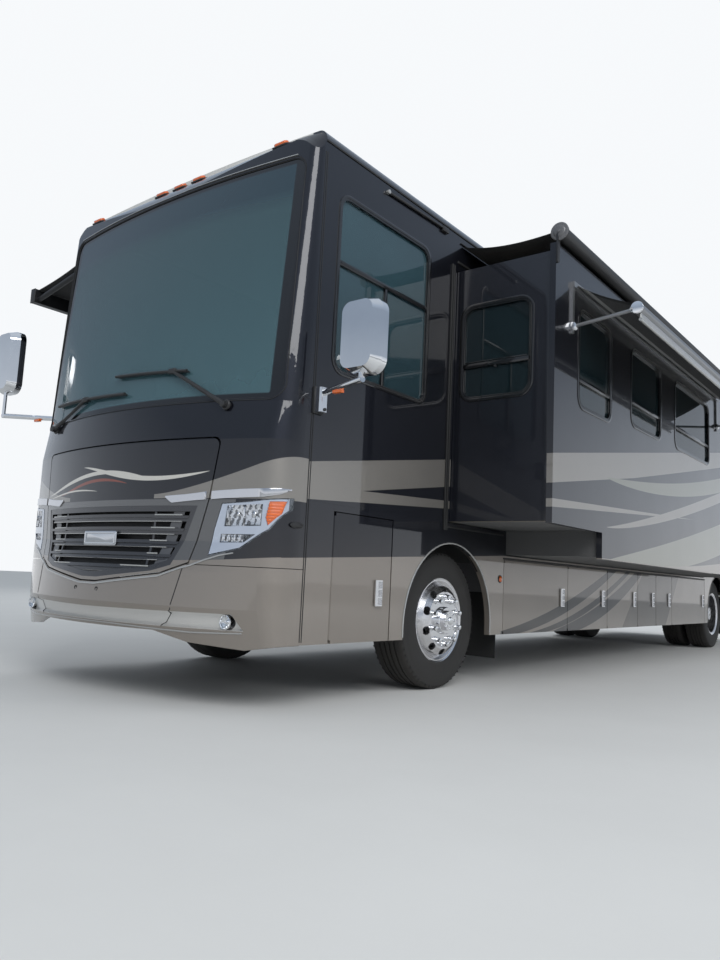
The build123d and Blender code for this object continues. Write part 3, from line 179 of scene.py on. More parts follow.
class Finish:
    """A material and the nodes that are added to it, in the vehicle's own coordinates."""

    def __init__(self, name, colour, **fixed):
        self.material = bpy.data.materials.new(name)
        self.material.use_nodes = True
        self.tree = self.material.node_tree
        self.shader = self.tree.nodes["Principled BSDF"]
        self.material.diffuse_color = self.shader.inputs["Base Color"].default_value = (*colour[:3], 1)
        for socket, value in fixed.items():
            self.shader.inputs[socket.replace("_", " ")].default_value = value
        self.place = None
        FINISHES[name] = self

    def add(self, kind, settings=None, inputs=(), output=0):
        """Makes a node: its settings first, then the values or links of its sockets."""
        node = self.tree.nodes.new(kind)
        for name, value in (settings or {}).items():
            setattr(node, name, value)
        for key, value in inputs.items() if isinstance(inputs, dict) else enumerate(inputs):
            self.put(node.inputs[key], value)
        return Amount(self, node.outputs[output])

    def put(self, socket, value):
        if isinstance(value, Amount):
            self.tree.links.new(value.socket, socket)
        elif socket.type == "RGBA" and len(value) == 3:
            socket.default_value = (*value, 1)
        else:
            socket.default_value = value

    def feed(self, socket, value):
        """Links or sets one of the shader's own sockets."""
        self.put(self.shader.inputs[socket], value)

    def where(self):
        """The place on the vehicle, as a vector."""
        if self.place is None:
            local = self.add("ShaderNodeTexCoord", output="Object")
            origin = (CENTRE_X, AXLE_Y, 0)
            self.place = self.add("ShaderNodeVectorMath", {"operation": "SUBTRACT"}, (local, origin))
        return self.place

    def parts(self, vector):
        """A vector's three numbers."""
        node = self.tree.nodes.new("ShaderNodeSeparateXYZ")
        self.put(node.inputs[0], vector)
        return [Amount(self, out) for out in node.outputs]

    def axes(self):
        """The place on the vehicle, as three numbers."""
        return self.parts(self.where())

    def scaled(self, x, y, z):
        return self.add("ShaderNodeVectorMath", {"operation": "MULTIPLY"}, (self.where(), (x, y, z)))

    def noise(self, scale, detail=3.0, roughness=0.5, at=None):
        values = {"Vector": at or self.where(), "Scale": scale, "Detail": detail, "Roughness": roughness}
        return self.add("ShaderNodeTexNoise", {}, values)

    def cells(self, scale, output="Distance"):
        return self.add("ShaderNodeTexVoronoi", {}, {"Vector": self.where(), "Scale": scale}, output)

    def mix(self, factor, one, two):
        """One colour where the factor is 0, the other where it is 1."""
        return self.add("ShaderNodeMix", {"data_type": "RGBA"}, {0: factor, 6: one, 7: two}, 2)

    def blend(self, factor, one, two):
        """A number between two, by a factor."""
        return one + factor * (two - one)

    def bump(self, height, strength, distance):
        values = {"Strength": strength, "Distance": distance, "Height": height}
        self.feed("Normal", self.add("ShaderNodeBump", {}, values))


def times(colour, factor):
    """A colour made darker or lighter."""
    return tuple(c * factor for c in colour)


# Shapes made with mesh operators


class Form:
    """The shape of one piece while it is being made, in the vehicle's own coordinates."""

    def __init__(self):
        self.mesh = bmesh.new()

    def take(self, other, matrix=None):
        """Adds another form, placed by a matrix, and uses that form up."""
        if matrix is not None:
            other.mesh.transform(matrix)
        store = bpy.data.meshes.new("store")
        other.mesh.to_mesh(store)
        other.mesh.free()
        self.mesh.from_mesh(store)
        bpy.data.meshes.remove(store)
        return self

    def soften(self, width, segments=2, angle=35):
        """Rounds the edges that turn by more than an angle."""
        edges = [e for e in self.mesh.edges if e.is_manifold and e.calc_face_angle() > math.radians(angle)]
        bmesh.ops.bevel(
            self.mesh, geom=edges, offset=width, affect="EDGES", segments=segments, profile=0.5,
            material=-1, clamp_overlap=True,
        )
        return self

    def move(self, change):
        """Moves every point by a rule."""
        for vert in self.mesh.verts:
            vert.co = change(vert.co)
        return self


def joined(*forms):
    """One form made of several."""
    whole = Form()
    for form in forms:
        whole.take(form)
    return whole


def steps_from(start, pitch, count):
    """Places a pitch apart."""
    return [start + pitch * k for k in range(count)]


def grid(across, along):
    """A flat square, one metre wide round the origin, cut into cells."""
    form = Form()
    bmesh.ops.create_grid(form.mesh, x_segments=across, y_segments=along, size=0.5)
    return form


def block(x0, x1, y0, y1, z0, z1, edge=0.003, segments=2):
    """A block between limits, with rounded edges."""
    form = Form()
    place = Matrix.Translation(((x0 + x1) / 2, (y0 + y1) / 2, (z0 + z1) / 2))
    matrix = place @ Matrix.Diagonal((x1 - x0, y1 - y0, z1 - z0, 1))
    bmesh.ops.create_cube(form.mesh, size=1, matrix=matrix)
    return form.soften(edge, segments) if edge else form


def rod(start, end, radius, sides=16, end_radius=None, edge=0):
    """A round bar between two points."""
    form = Form()
    start, end = Vector(start), Vector(end)
    along = end - start
    matrix = Matrix.Translation((start + end) / 2) @ along.to_track_quat("Z", "Y").to_matrix().to_4x4()
    last = radius if end_radius is None else end_radius
    bmesh.ops.create_cone(
        form.mesh, cap_ends=True, segments=sides, radius1=radius, radius2=last, depth=along.length,
        matrix=matrix,
    )
    return form.soften(edge, 2, 50) if edge else form


def long_rod(x, z, y0, y1, *shape, **more):
    """A round bar along the vehicle."""
    return rod((x, y0, z), (x, y1, z), *shape, **more)


def chain(points, radius, sides=10):
    """A bent tube: one ring of points carried along a line and joined."""
    form = Form()
    points = [Vector(p) for p in points]
    ring = bmesh.ops.create_circle(form.mesh, cap_ends=False, segments=sides, radius=radius)["verts"]
    turn = (points[1] - points[0]).normalized().to_track_quat("Z", "Y").to_matrix()
    for vert in ring:
        vert.co = points[0] + turn @ vert.co
    start_edges = edges = list({e for v in ring for e in v.link_edges})
    for k in range(1, len(points)):
        ahead = (points[k] - points[k - 1]).normalized()
        after = (points[k + 1] - points[k]).normalized() if k + 1 < len(points) else ahead
        facing = (ahead + after).normalized()
        made = bmesh.ops.extrude_edge_only(form.mesh, edges=edges)["geom"]
        edges = [g for g in made if isinstance(g, bmesh.types.BMEdge)]
        for vert in [g for g in made if isinstance(g, bmesh.types.BMVert)]:
            vert.co = vert.co + ahead * ((points[k] - vert.co).dot(facing) / max(1e-9, ahead.dot(facing)))
    bmesh.ops.contextual_create(form.mesh, geom=edges)
    bmesh.ops.contextual_create(form.mesh, geom=start_edges)
    return form


def lathe(profile, centre=(0, 0, 0), axis="X", steps=48, closed=True):
    """A turned ring: the profile gives pairs of place along the axle and radius."""
    form = Form()
    verts = [form.mesh.verts.new((along, radius, 0)) for along, radius in profile]
    pairs = list(zip(verts, verts[1:])) + ([(verts[-1], verts[0])] if closed else [])
    edges = [form.mesh.edges.new(pair) for pair in pairs]
    bmesh.ops.spin(
        form.mesh, geom=verts + edges, cent=(0, 0, 0), axis=(1, 0, 0), angle=math.tau, steps=steps,
        use_merge=True,
    )
    bmesh.ops.remove_doubles(form.mesh, verts=form.mesh.verts, dist=1e-6)
    turn = Matrix.Rotation(math.pi / 2, 4, "Z") if axis == "Y" else Matrix()
    form.mesh.transform(Matrix.Translation(centre) @ turn)
    return form


def outline_face(points, radius=0, segments=4):
    """A flat face through points across and up, its corners rounded."""
    form = Form()
    corners = [form.mesh.verts.new((a, 0, b)) for a, b in points]
    form.mesh.faces.new(corners)
    if radius:
        bmesh.ops.bevel(
            form.mesh, geom=corners, offset=radius, affect="VERTICES", segments=segments, profile=0.5,
            material=-1,
        )
    return form


def rounded_face(a0, a1, b0, b1, radius):
    """A rounded rectangle in the plane of X and Z."""
    return outline_face(((a0, b0), (a1, b0), (a1, b1), (a0, b1)), radius, 6)


def thicken(form, back, front):
    """Turns a flat face into a plate between two depths; a negative depth stands proud."""
    made = bmesh.ops.extrude_face_region(form.mesh, geom=list(form.mesh.faces))["geom"]
    fresh = [g for g in made if isinstance(g, bmesh.types.BMVert)]
    bmesh.ops.translate(form.mesh, verts=form.mesh.verts, vec=(0, back, 0))
    bmesh.ops.translate(form.mesh, verts=fresh, vec=(0, front - back, 0))
    return form


def sides_of(points):
    """An outline's sides, as pairs of points."""
    return list(zip(points, points[1:] + points[:1]))


def within(points, a, b):
    """Whether a place across and up lies inside a convex outline, its points in either order."""
    turns = [(p[0] - q[0]) * (b - q[1]) - (p[1] - q[1]) * (a - q[0]) for q, p in sides_of(points)]
    return all(t > 0 for t in turns) or all(t < 0 for t in turns)


def pierced(points, holes, pitch, back, front):
    """A plate with convex openings, cut finely enough to follow the front's bow."""
    form = outline_face(points)
    lines = [(q, (p[0] - q[0], p[1] - q[1])) for hole in holes for q, p in sides_of(hole)]
    for axis in (0, 1):
        low, high = min(p[axis] for p in points), max(p[axis] for p in points)
        for k in range(1, int((high - low) / pitch) + 1):
            at = low + pitch * k
            lines.append(((0, at), (1, 0)) if axis else ((at, 0), (0, 1)))
    for (a, b), (across, up) in lines:
        cut = list(form.mesh.verts) + list(form.mesh.edges) + list(form.mesh.faces)
        bmesh.ops.bisect_plane(form.mesh, geom=cut, plane_co=(a, 0, b), plane_no=(-up, 0, across))
    middles = [(face, face.calc_center_median()) for face in form.mesh.faces]
    gone = [face for face, at in middles if any(within(hole, at.x, at.z) for hole in holes)]
    bmesh.ops.delete(form.mesh, geom=gone, context="FACES")
    return thicken(form, back, front)


def span(points, b):
    """The reach across of a convex outline at one height."""
    found = [
        q[0] + (p[0] - q[0]) * (b - q[1]) / (p[1] - q[1])
        for q, p in sides_of(points)
        if min(q[1], p[1]) <= b <= max(q[1], p[1]) and q[1] != p[1]
    ]
    return min(found), max(found)


def plate(a0, a1, b0, b1, radius, back, front, edge=0.001):
    """A rounded plate."""
    return thicken(rounded_face(a0, a1, b0, b1, radius), back, front).soften(edge, 2, 60)


def ring_of(form, width, back, front, edge=0.001, cuts=0):
    """A frame as wide as given, just inside a flat face's outline."""
    inner = list(form.mesh.faces)
    bmesh.ops.inset_region(form.mesh, faces=inner, thickness=width, use_even_offset=True, use_boundary=True)
    bmesh.ops.delete(form.mesh, geom=inner, context="FACES")
    if cuts:
        long_edges = [e for e in form.mesh.edges if e.calc_length() > 0.1]
        bmesh.ops.subdivide_edges(form.mesh, edges=long_edges, cuts=cuts, use_grid_fill=True)
    return thicken(form, back, front).soften(edge, 2, 60)


def window_ring(opening, radius, width, back, front, edge=0.0015, inset=0.0):
    """A window's frame that reaches outwards from the opening by its width."""
    a0, a1, b0, b1 = opening
    out = width - inset
    outline = rounded_face(a0 - out, a1 + out, b0 - out, b1 + out, radius + out)
    return ring_of(outline, width + 0.006, back, front, edge)


def on_side(side, x):
    """Places a form drawn across and up onto a side wall, at a distance from the centre."""
    return Matrix(((0, -side, 0, side * x), (1, 0, 0, 0), (0, 0, 1, 0), (0, 0, 0, 1)))


ON_TAIL = Matrix(((1, 0, 0, 0), (0, -1, 0, TAIL_Y), (0, 0, 1, 0), (0, 0, 0, 1)))
MIRROR = Matrix.Diagonal((-1, 1, 1, 1))


def both(make):
    """A form and its mirror image across the vehicle."""
    return Form().take(make()).take(make(), MIRROR)


def surface_of(*names):
    """A tree of the faces of some frame nodes, for finding where they lie."""
    verts, faces = [], []
    for name in names:
        data = NODES[name].data
        start = len(verts)
        verts += [TO_FRAME.inverted() @ v.co for v in data.vertices]
        faces += [[start + i for i in p.vertices] for p in data.polygons]
    return BVHTree.FromPolygons(verts, faces)


GRILLE = surface_of("grille")
SKIN = surface_of("front_cap", "front_bumper", "hood_door", "windshield", "headlamp_lenses")


def front_y(x, z, tree=SKIN):
    """Where the front's outer face lies, looking from ahead; the gap of a seam is bridged from its sides."""
    def struck(across, up):
        hit = tree.ray_cast(Vector((x + across, -5, z + up)), Vector((0, 1, 0)))[0]
        return hit.y if hit is not None else FRONT_MISS_Y

    middle = struck(0, 0)
    beside = min(struck(across, up) for across, up in ((0.008, 0), (-0.008, 0), (0, 0.008), (0, -0.008)))
    return beside if middle > beside + 0.02 else middle


def drape(form, lie=front_y):
    """Lays a form drawn across and up onto the front's bow, keeping its depth."""
    return form.move(lambda p: Vector((p.x, p.y + lie(p.x, p.z), p.z)))


BAR_FACES = [front_y(0, BAR_Z + BAR_PITCH * k, GRILLE) for k in range(BARS)]


def nose_y(x, z):
    """Where the grille's bow lies: its bars' faces at the centre line, bent back to both sides."""
    share = min(max((z - BAR_Z) / BAR_PITCH, 0), BARS - 1.001)
    row = int(share)
    return BAR_FACES[row] + (BAR_FACES[row + 1] - BAR_FACES[row]) * (share - row) + 0.15 * x * x


def bar_y(x, z):
    """The face of the grille's nearest bar, or the bow beside its ends."""
    row = min(max(round((z - BAR_Z) / BAR_PITCH), 0), BARS - 1)
    found = front_y(x, BAR_Z + BAR_PITCH * row, GRILLE)
    return found if found < FRONT_MISS_Y - 0.1 else nose_y(x, z)


def values_at(rows, share):
    """The values at a share of the way through a list of rows."""
    share *= len(rows) - 1
    k = min(int(share), len(rows) - 2)
    t = share - k
    return [a * (1 - t) + b * t for a, b in zip(rows[k], rows[k + 1])]


def bowed_strip(rows, proud, back=0.004, steps=18, edge=0.0012, lie=front_y):
    """A strip on the front: its rows give place across, low edge and high edge, end to end."""
    def shape(p):
        x, low, high = values_at(rows, p.x + 0.5)
        return Vector((x, 0, low + (high - low) * (p.y + 0.5)))

    return drape(thicken(grid(steps, 1).move(shape), back, -proud).soften(edge, 2, 60), lie)


def falling_strip(points, wide, proud):
    """A narrow strip that runs down the front through points across and up, in eight steps between each two."""
    def shape(p):
        x, z = values_at(points, p.y + 0.5)
        return Vector((x + wide * p.x, 0, z))

    return drape(thicken(grid(1, 8 * (len(points) - 1)).move(shape), 0.004, -proud))


def piece(name, form, body, material, smooth=35):
    """Makes the object of a form, with its place in its mesh, and hangs it on a body."""
    bmesh.ops.remove_doubles(form.mesh, verts=form.mesh.verts, dist=1e-5)
    bmesh.ops.recalc_face_normals(form.mesh, faces=form.mesh.faces)
    form.mesh.transform(TO_FRAME)
    data = bpy.data.meshes.new(name)
    form.mesh.to_mesh(data)
    form.mesh.free()
    data.materials.append(FINISHES[material].material)
    if smooth:
        data.shade_smooth()
        data.set_sharp_from_angle(angle=math.radians(smooth))
    made = bpy.data.objects.new(name, data)
    bpy.context.scene.collection.objects.link(made)
    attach(made, body)
    return made


# Sizes and colours that a user would change


def tint(name, description, default):
    return FloatVectorProperty(
        name=name, description=description, subtype="COLOR", size=3, min=0, max=1, default=default
    )


def length(name, description, default, low, high):
    return FloatProperty(name=name, description=description, default=default, min=low, max=high, unit="LENGTH")


class MotorhomeColours(bpy.types.PropertyGroup):
    """The colours of the paint, glass and cloth"""

    upper: tint("Upper paint", "Gloss metallic above the division", GLOSS_BLACK)
    lower: tint("Lower paint", "Metallic below the division", (0.25, 0.222, 0.195))
    band: tint("Band", "The belt band along the sides", (0.23, 0.215, 0.195))
    sweep: tint("Sweep", "The light sweeps on the slide-out", (0.2, 0.2, 0.165))
    dark_sweep: tint("Dark sweep", "The dark tapered strokes on the storage doors", (0.035, 0.034, 0.036))
    hood: tint("Hood", "The mid grey round the grille", (0.12, 0.12, 0.122))
    # The slot's light grey is partly silver and partly a painted highlight on its upward-facing floor.
    slot: tint("Bumper slot", "The silver of the bumper's slot", (0.6, 0.59, 0.57))
    # The hood's pale and red-brown strokes are painted reflections on its gloss.
    pale_reflection: tint("Cream stroke", "The pale strokes on the hood", (0.62, 0.59, 0.53))
    red_brown_reflection: tint("Rust stroke", "The red-brown stroke on the hood", (0.22, 0.05, 0.03))
    glass: tint("Glass", "The tint of the windows", (0.012, 0.022, 0.026))
    awning: tint("Awning cloth", "The woven awning cloth", (0.018, 0.018, 0.019))
    leather: tint("Leather", "The seats' leather", (0.3, 0.25, 0.19))


class MotorhomeSizes(bpy.types.PropertyGroup):
    """The sizes of the small pieces"""

    frame_width: length("Window frame", "Width of a window's outer frame", 0.015, 0.01, 0.06)
    frame_proud: length("Frame depth", "How far a window's frame stands off its wall", 0.005, 0.002, 0.02)
    tread_blocks: IntProperty(
        name="Tread blocks", description="Blocks round a tyre", default=60, min=20, max=90
    )
    nut_circle: length("Nut circle", "Radius of the ring of wheel nuts", 0.1675, 0.1, 0.2)
    awning_sag: length("Awning sag", "How far an awning's cloth hangs under its line", 0.035, 0, 0.1)
    topper_sag: length("Topper sag", "How far the topper's cloth hangs under its line", 0.055, 0, 0.1)
    with_floor: BoolProperty(name="Floor", description="Makes the floor under the vehicle", default=True)


# Finishes


def paint_marks(paint, colours):
    """The paint's layout over the whole vehicle: division, belt band, sweeps, strokes, with painted reflections
    on the hood and a painted highlight in the bumper's slot. Returns its colour.
    """
    x, y, z = paint.axes()
    wide, aft = abs(x), y - CAP_SEAM_Y
    side = wide.over(SIDE_FROM)
    colour = tuple(colours.upper)

    def lay(mask, over):
        nonlocal colour
        colour = paint.mix(mask, colour, tuple(over))

    def stroke(curve, half, soft, mask, over):
        """A stroke, from its middle line, half its thickness and the softness of its edges."""
        lay(z.between(curve - half, curve + half, soft) * mask, over)

    division = (0.866 + 0.056 * aft).lowest(1.0)
    bow = 0.812 + 0.05 * (wide / HALF_WIDTH) ** 3
    lay(paint.blend(side, z.under(bow), z.under(division)), colours.lower)

    # Mid grey cheeks between the hood and the lamps, and the bumper's slot: silver, with a painted highlight
    # where its floor faces up.
    nose = y.under(-1.72)
    lay(nose * z.between(0.66, 1.175, 0.004) * wide.under(1.0 + 0.12 * (z - 1.0)) * z.over(bow), colours.hood)
    lay(nose * z.between(0.444, 0.524 + 0.009 * wide) * wide.under(1.107 - 0.655 * (z - 0.446)), colours.slot)

    # The belt band rises to the tail, with a wedge that splits off a thin tine.
    top, low = 1.42 + 0.157 * aft, 1.232 + 0.149 * aft
    under_top, over_tine = z.under(top), z.over(1.203 + 0.062 * aft)
    thinned = (1 - 0.1 * (y - 1.5).highest(0)).highest(0.1)
    belt = under_top * z.over(top - (top - low) * thinned)
    tine = z.under(1.285 + 0.045 * aft) * over_tine
    root = under_top * over_tine * y.under(-1.2)
    lay((belt + tine + root).lowest(1) * side, colours.band)

    # It wraps round the corner and thins to a tip over the front's bright strip.
    reach = ((wide - 0.45) / 0.73).highest(ABOVE_ZERO)
    wrap = z.under(1.205 + 0.185 * reach**1.5) * z.over(1.18) * y.under(CAP_SEAM_Y) * wide.over(0.45)
    lay(wrap, colours.band)

    # Long sweeps on the rear half, each a rising curve that swells and thins again.
    along = ((y - 0.9) / 8.0).highest(ABOVE_ZERO)
    swell = (4 * along * (1 - along)).highest(0) ** 0.7
    upper_side = side * z.over(1.0)
    for bottom, rise, power, thick, over in (
        (0.98, 1.5, 1.55, 0.34, colours.sweep),
        (1.24, 1.75, 1.25, 0.11, colours.band),
        (1.62, 1.6, 1.75, 0.16, colours.sweep),
    ):
        stroke(bottom + rise * along**power, thick / 2 * swell, 0.004, upper_side * y.over(0.9, 0.01), over)
    skirt = z.under(1.0 + 0.55 * ((y - 2.2) / 6.6).highest(ABOVE_ZERO) ** 1.4, 0.004)
    lay(upper_side * y.over(2.2, 0.01) * skirt, colours.lower)

    # Dark tapered strokes over the storage doors, and the darker rear doors.
    doors = side * z.under(0.975) * y.over(0.78)
    for start, end, thick in ((0.55, 3.3, 0.075), (1.25, 3.75, 0.05), (1.75, 4.1, 0.11)):
        share = ((y - start) / (end - start)).highest(ABOVE_ZERO)
        swell = (share * (1.25 - share) * 4).highest(0) ** 0.6
        mask = doors * share.under(1.02)
        stroke(0.37 + 0.62 * share**1.7, thick / 2 * swell, 0.003, mask, colours.dark_sweep)
    rear = y.over(3.55 + 1.1 * (z - 0.4), 0.003) * y.under(5.05 + 0.9 * (z - 0.4), 0.003)
    lay(doors * rear, times(colours.lower, 0.45))

    # Painted reflections cross the hood's nose as flat waves: pale ones and a red-brown one.
    hood = y.under(-1.9) * wide.under(0.86) * z.between(1.19, 1.5)
    for start, end, base, rise, thick, over in (
        (-0.82, 0.36, 1.235, 0.16, 0.021, colours.pale_reflection),
        (-0.6, 0.2, 1.225, 0.11, 0.017, colours.red_brown_reflection),
        (-0.3, 0.84, 1.4, -0.13, 0.024, colours.pale_reflection),
        (-0.78, -0.1, 1.215, 0.045, 0.009, colours.pale_reflection),
    ):
        share = ((x - start) / (end - start)).highest(ABOVE_ZERO).lowest(1)
        curve = base + rise * (share * 1.9 * (1.32 - share)) ** 1.5
        swell = (share * (1 - share) * 4) ** 0.7
        stroke(curve, thick * 0.6 * swell, 0.002, hood * x.between(start, end), over)
    return colour


def gloss_paint(name, colour, coat):
    """Paint under a clear coat."""
    gloss = {"Roughness": 0.32, "Coat_Roughness": 0.03, "IOR": 1.45, "Specular_IOR_Level": 0.1}
    return Finish(name, tuple(colour), Coat_Weight=coat, **gloss)


def road_dust(made, z):
    """How much dust lies at a height, most near the ground."""
    return z.under(0.75, 0.7) * made.noise(3.5, 6, 0.7)


def make_paint(colours):
    """The body's gloss metallic paint with its layout, and the plain inner faces."""
    paint = gloss_paint("coach_paint", colours.upper, 1.0)
    x, y, z = paint.axes()
    colour = paint_marks(paint, colours)
    cloud = paint.noise(2.3, 3)
    sparkle = paint.add("ShaderNodeSeparateColor", {}, (paint.cells(1400, "Color"),))
    bright = paint.add("ShaderNodeVectorMath", {"operation": "MULTIPLY"}, (colour, (1.25, 1.25, 1.25)))
    colour = paint.mix(sparkle * 0.5 * (0.6 + 0.8 * cloud), colour, bright)
    body = abs(x).under(HALF_WIDTH - WALL + 0.002) * y.between(*CABIN_Y)
    room = x.between(1.3, SLIDE_X - WALL + 0.002) * z.between(1.2, 3.1)
    ends = y.under(SLIDE_Y[0] + 0.003) + y.over(SLIDE_Y[1] - 0.003)
    lining = (body + room * (1 - ends.lowest(1))).lowest(1)
    dust = road_dust(paint, z)
    paint.feed("Base Color", paint.mix(dust * 0.16, paint.mix(lining, colour, LINING), DUST))
    paint.feed("Metallic", (1 - lining) * 0.55)
    paint.feed("Roughness", (0.3 + 0.1 * cloud + 0.35 * lining + 0.12 * dust).lowest(1))
    paint.feed("Coat Weight", 1 - lining)
    paint.bump(paint.blend(lining, paint.noise(34, 2), paint.noise(240, 2)), 0.05, 0.0006)


def make_door_paint(colours):
    """The storage doors' paint: the same layout, with polished ladder latches."""
    paint = gloss_paint("door_paint", colours.lower, 0.8)
    x, _, z = paint.axes()
    latch = abs(x).over(HALF_WIDTH + 0.0012, 0.0006)
    dust = road_dust(paint, z)
    colour = paint.mix(dust * 0.2, paint_marks(paint, colours), DUST)
    paint.feed("Base Color", paint.mix(latch, colour, (0.72, 0.72, 0.73)))
    paint.feed("Metallic", 0.55 + 0.45 * latch)
    paint.feed("Roughness", 0.32 + 0.1 * paint.noise(2.3, 3) - 0.2 * latch + 0.1 * dust)
    paint.bump(paint.noise(34, 2), 0.05, 0.0006)


def make_plain(
    name, colour, roughness, metallic=0.0, coat=0.0, grain=120, depth=0.15, spread=0.1, dark=0.85, shift=0.12,
    stretch=(1, 1, 1),
):
    """A moulded, cast or painted finish: colour that varies a little, a fine grain and uneven gloss."""
    made = Finish(name, colour, Metallic=metallic, Coat_Weight=coat, Coat_Roughness=0.05)
    cloud = made.noise(5, 4, 0.6)
    fine = made.noise(grain, 3, 0.6, made.scaled(*stretch))
    made.feed("Base Color", made.mix(cloud, times(colour, dark), colour))
    made.feed("Roughness", roughness + spread * (cloud - 0.5) + shift * (fine - 0.5))
    made.bump(fine, depth, 0.0006)


# Each plain finish: its colour, its roughness, and what differs from the usual.
PLAIN = {
    "black_rubber": ((0.012, 0.012, 0.012), 0.62, {"grain": 200, "depth": 0.25}),
    "black_gloss": ((0.008, 0.008, 0.009), 0.16, {"coat": 0.5, "grain": 60, "depth": 0.04, "shift": 0.03}),
    "black_plastic": ((0.022, 0.022, 0.023), 0.5, {"grain": 420, "depth": 0.3}),
    "frame_black": ((0.016, 0.016, 0.016), 0.55, {"grain": 40, "depth": 0.4, "spread": 0.25}),
    "cast_steel": (
        (0.06, 0.056, 0.052), 0.6, {"metallic": 0.6, "grain": 70, "depth": 0.5, "spread": 0.25, "dark": 0.5}
    ),
    "floor_grey": ((0.1, 0.1, 0.1), 0.6, {"grain": 90, "depth": 0.3}),
    "storage_grey": ((0.16, 0.16, 0.165), 0.55, {"grain": 60, "depth": 0.2}),
    "awning_metal": (
        (0.3, 0.305, 0.315), 0.34, {"metallic": 0.85, "grain": 220, "depth": 0.08, "stretch": (1, 0.04, 1)}
    ),
    "cap_grey": ((0.14, 0.14, 0.145), 0.36, {"metallic": 0.3, "grain": 160, "depth": 0.1}),
    "awning_dark": (
        (0.03, 0.031, 0.034), 0.38, {"metallic": 0.5, "grain": 200, "depth": 0.1, "stretch": (1, 0.05, 1)}
    ),
    "grille_metal": (
        (0.075, 0.075, 0.08), 0.3,
        {"metallic": 0.7, "coat": 0.4, "grain": 150, "depth": 0.08, "stretch": (0.05, 1, 1)},
    ),
    "grille_band": ((0.13, 0.13, 0.135), 0.34, {"metallic": 0.6, "coat": 0.3, "grain": 150, "depth": 0.08}),
    "grille_screen": ((0.006, 0.006, 0.007), 0.6, {"grain": 500, "depth": 0.8}),
    "bright_trim": ((0.68, 0.68, 0.7), 0.14, {"metallic": 1.0, "grain": 90, "depth": 0.03, "shift": 0.05}),
    "pale_trim": ((0.42, 0.42, 0.41), 0.24, {"metallic": 0.5, "coat": 0.5, "grain": 120, "depth": 0.05}),
    "lamp_rim": ((0.5, 0.55, 0.64), 0.2, {"metallic": 0.55, "coat": 0.6, "grain": 60, "depth": 0.03}),
    "dash_plastic": ((0.03, 0.028, 0.026), 0.6, {"grain": 520, "depth": 0.35}),
    "dash_wood": (
        (0.07, 0.035, 0.018), 0.25,
        {"coat": 0.8, "grain": 26, "depth": 0.05, "dark": 0.4, "stretch": (0.15, 1, 3)},
    ),
    "blank_plate": (
        (0.62, 0.64, 0.67), 0.16, {"metallic": 1.0, "grain": 300, "depth": 0.05, "stretch": (0.05, 1, 1)}
    ),
    "mirror_face": (
        (0.75, 0.77, 0.78), 0.03,
        {"metallic": 1.0, "grain": 3, "depth": 0.01, "spread": 0.02, "shift": 0.01},
    ),
    "flap_rubber": ((0.014, 0.014, 0.014), 0.7, {"grain": 160, "depth": 0.4, "spread": 0.2}),
}


def make_glass(name, colour, alpha, screen=False):
    """Tinted glass: a dark coat that lets part of the light through. On the windscreen a painted reflection of
    sky and trees, strongest at its foot, painted light streaks and a painted shade band along its top; on the
    cab's side windows a paler painted reflection.
    """
    glass = Finish(name, colour, Roughness=0.02, IOR=1.5, Coat_Weight=0.0, Specular_IOR_Level=0.75)
    x, y, z = glass.axes()
    film = glass.noise(1.7, 4, 0.6)
    smear = glass.noise(14, 5, 0.7, glass.scaled(1, 1, 0.25))
    colour = glass.mix(film * 0.5, colour, times(colour, 1.5))
    opacity = alpha + 0.05 * film
    if screen:
        top, low = SCREEN_TOP[1], SCREEN_LOW[1]
        shade = z.over(top - 0.26, 0.12)
        ends = abs(z - (top + low) / 2).over((top - low) / 2 - 0.035, 0.012)
        edge = (abs(x).over(1.14, 0.01) + ends).lowest(1) * y.under(-1.5)
        reflected_streak = (x * 1.1 - z * 0.55 + film * 0.5).sine().highest(0) ** 2
        # Painted reflection of sky and trees, strongest at the foot; painted light streaks; a painted shade
        # band along the top; the black frit round the edge.
        for mask, over in (
            (0.35 + 0.45 * z.under(low + 0.8, 1.7), (0.075, 0.155, 0.18)),
            (reflected_streak * 0.35, (0.13, 0.22, 0.24)),
            (shade * 0.75, (0.008, 0.022, 0.036)),
            (edge, (0.006, 0.006, 0.007)),
        ):
            colour = glass.mix(mask, colour, over)
        opacity = (opacity + 0.22 * shade + edge).lowest(1)
    else:
        # The cab's side windows are a little clearer, with a paler teal painted reflection of the sky that
        # grows with height.
        cab = y.under(-0.3, 0.3) * abs(x).over(1.2)
        colour = glass.mix(cab * (0.45 + 0.3 * film) * z.over(2.1, 1.6), colour, (0.05, 0.105, 0.13))
        opacity = opacity - 0.1 * cab
    glass.feed("Base Color", colour)
    glass.feed("Alpha", opacity)
    glass.feed("Roughness", 0.012 + 0.05 * (smear * film))
    glass.bump(glass.noise(0.9, 1), 0.03, 0.01)
    glass.material.surface_render_method = "DITHERED"


def make_chrome():
    """Polished bright metal with faint wiping marks and road film."""
    chrome = Finish("chrome", (0.78, 0.79, 0.8), Metallic=1.0)
    marks = chrome.noise(55, 4, 0.7, chrome.scaled(1, 0.3, 1))
    film = chrome.noise(4, 4, 0.6)
    chrome.feed("Base Color", chrome.mix(film, (0.7, 0.71, 0.73), (0.83, 0.84, 0.85)))
    chrome.feed("Roughness", 0.045 + 0.07 * marks * film)
    chrome.bump(marks, 0.02, 0.0004)


def round_hub(made):
    """Places at a wheel: across, behind and above its hub, and how far from it."""
    x, y, z = made.axes()
    behind, up = y - WHEELBASE * y.over(WHEELBASE / 2, 0.5), z - HUB_Z
    return x, behind, up, (behind * behind + up * up) ** 0.5


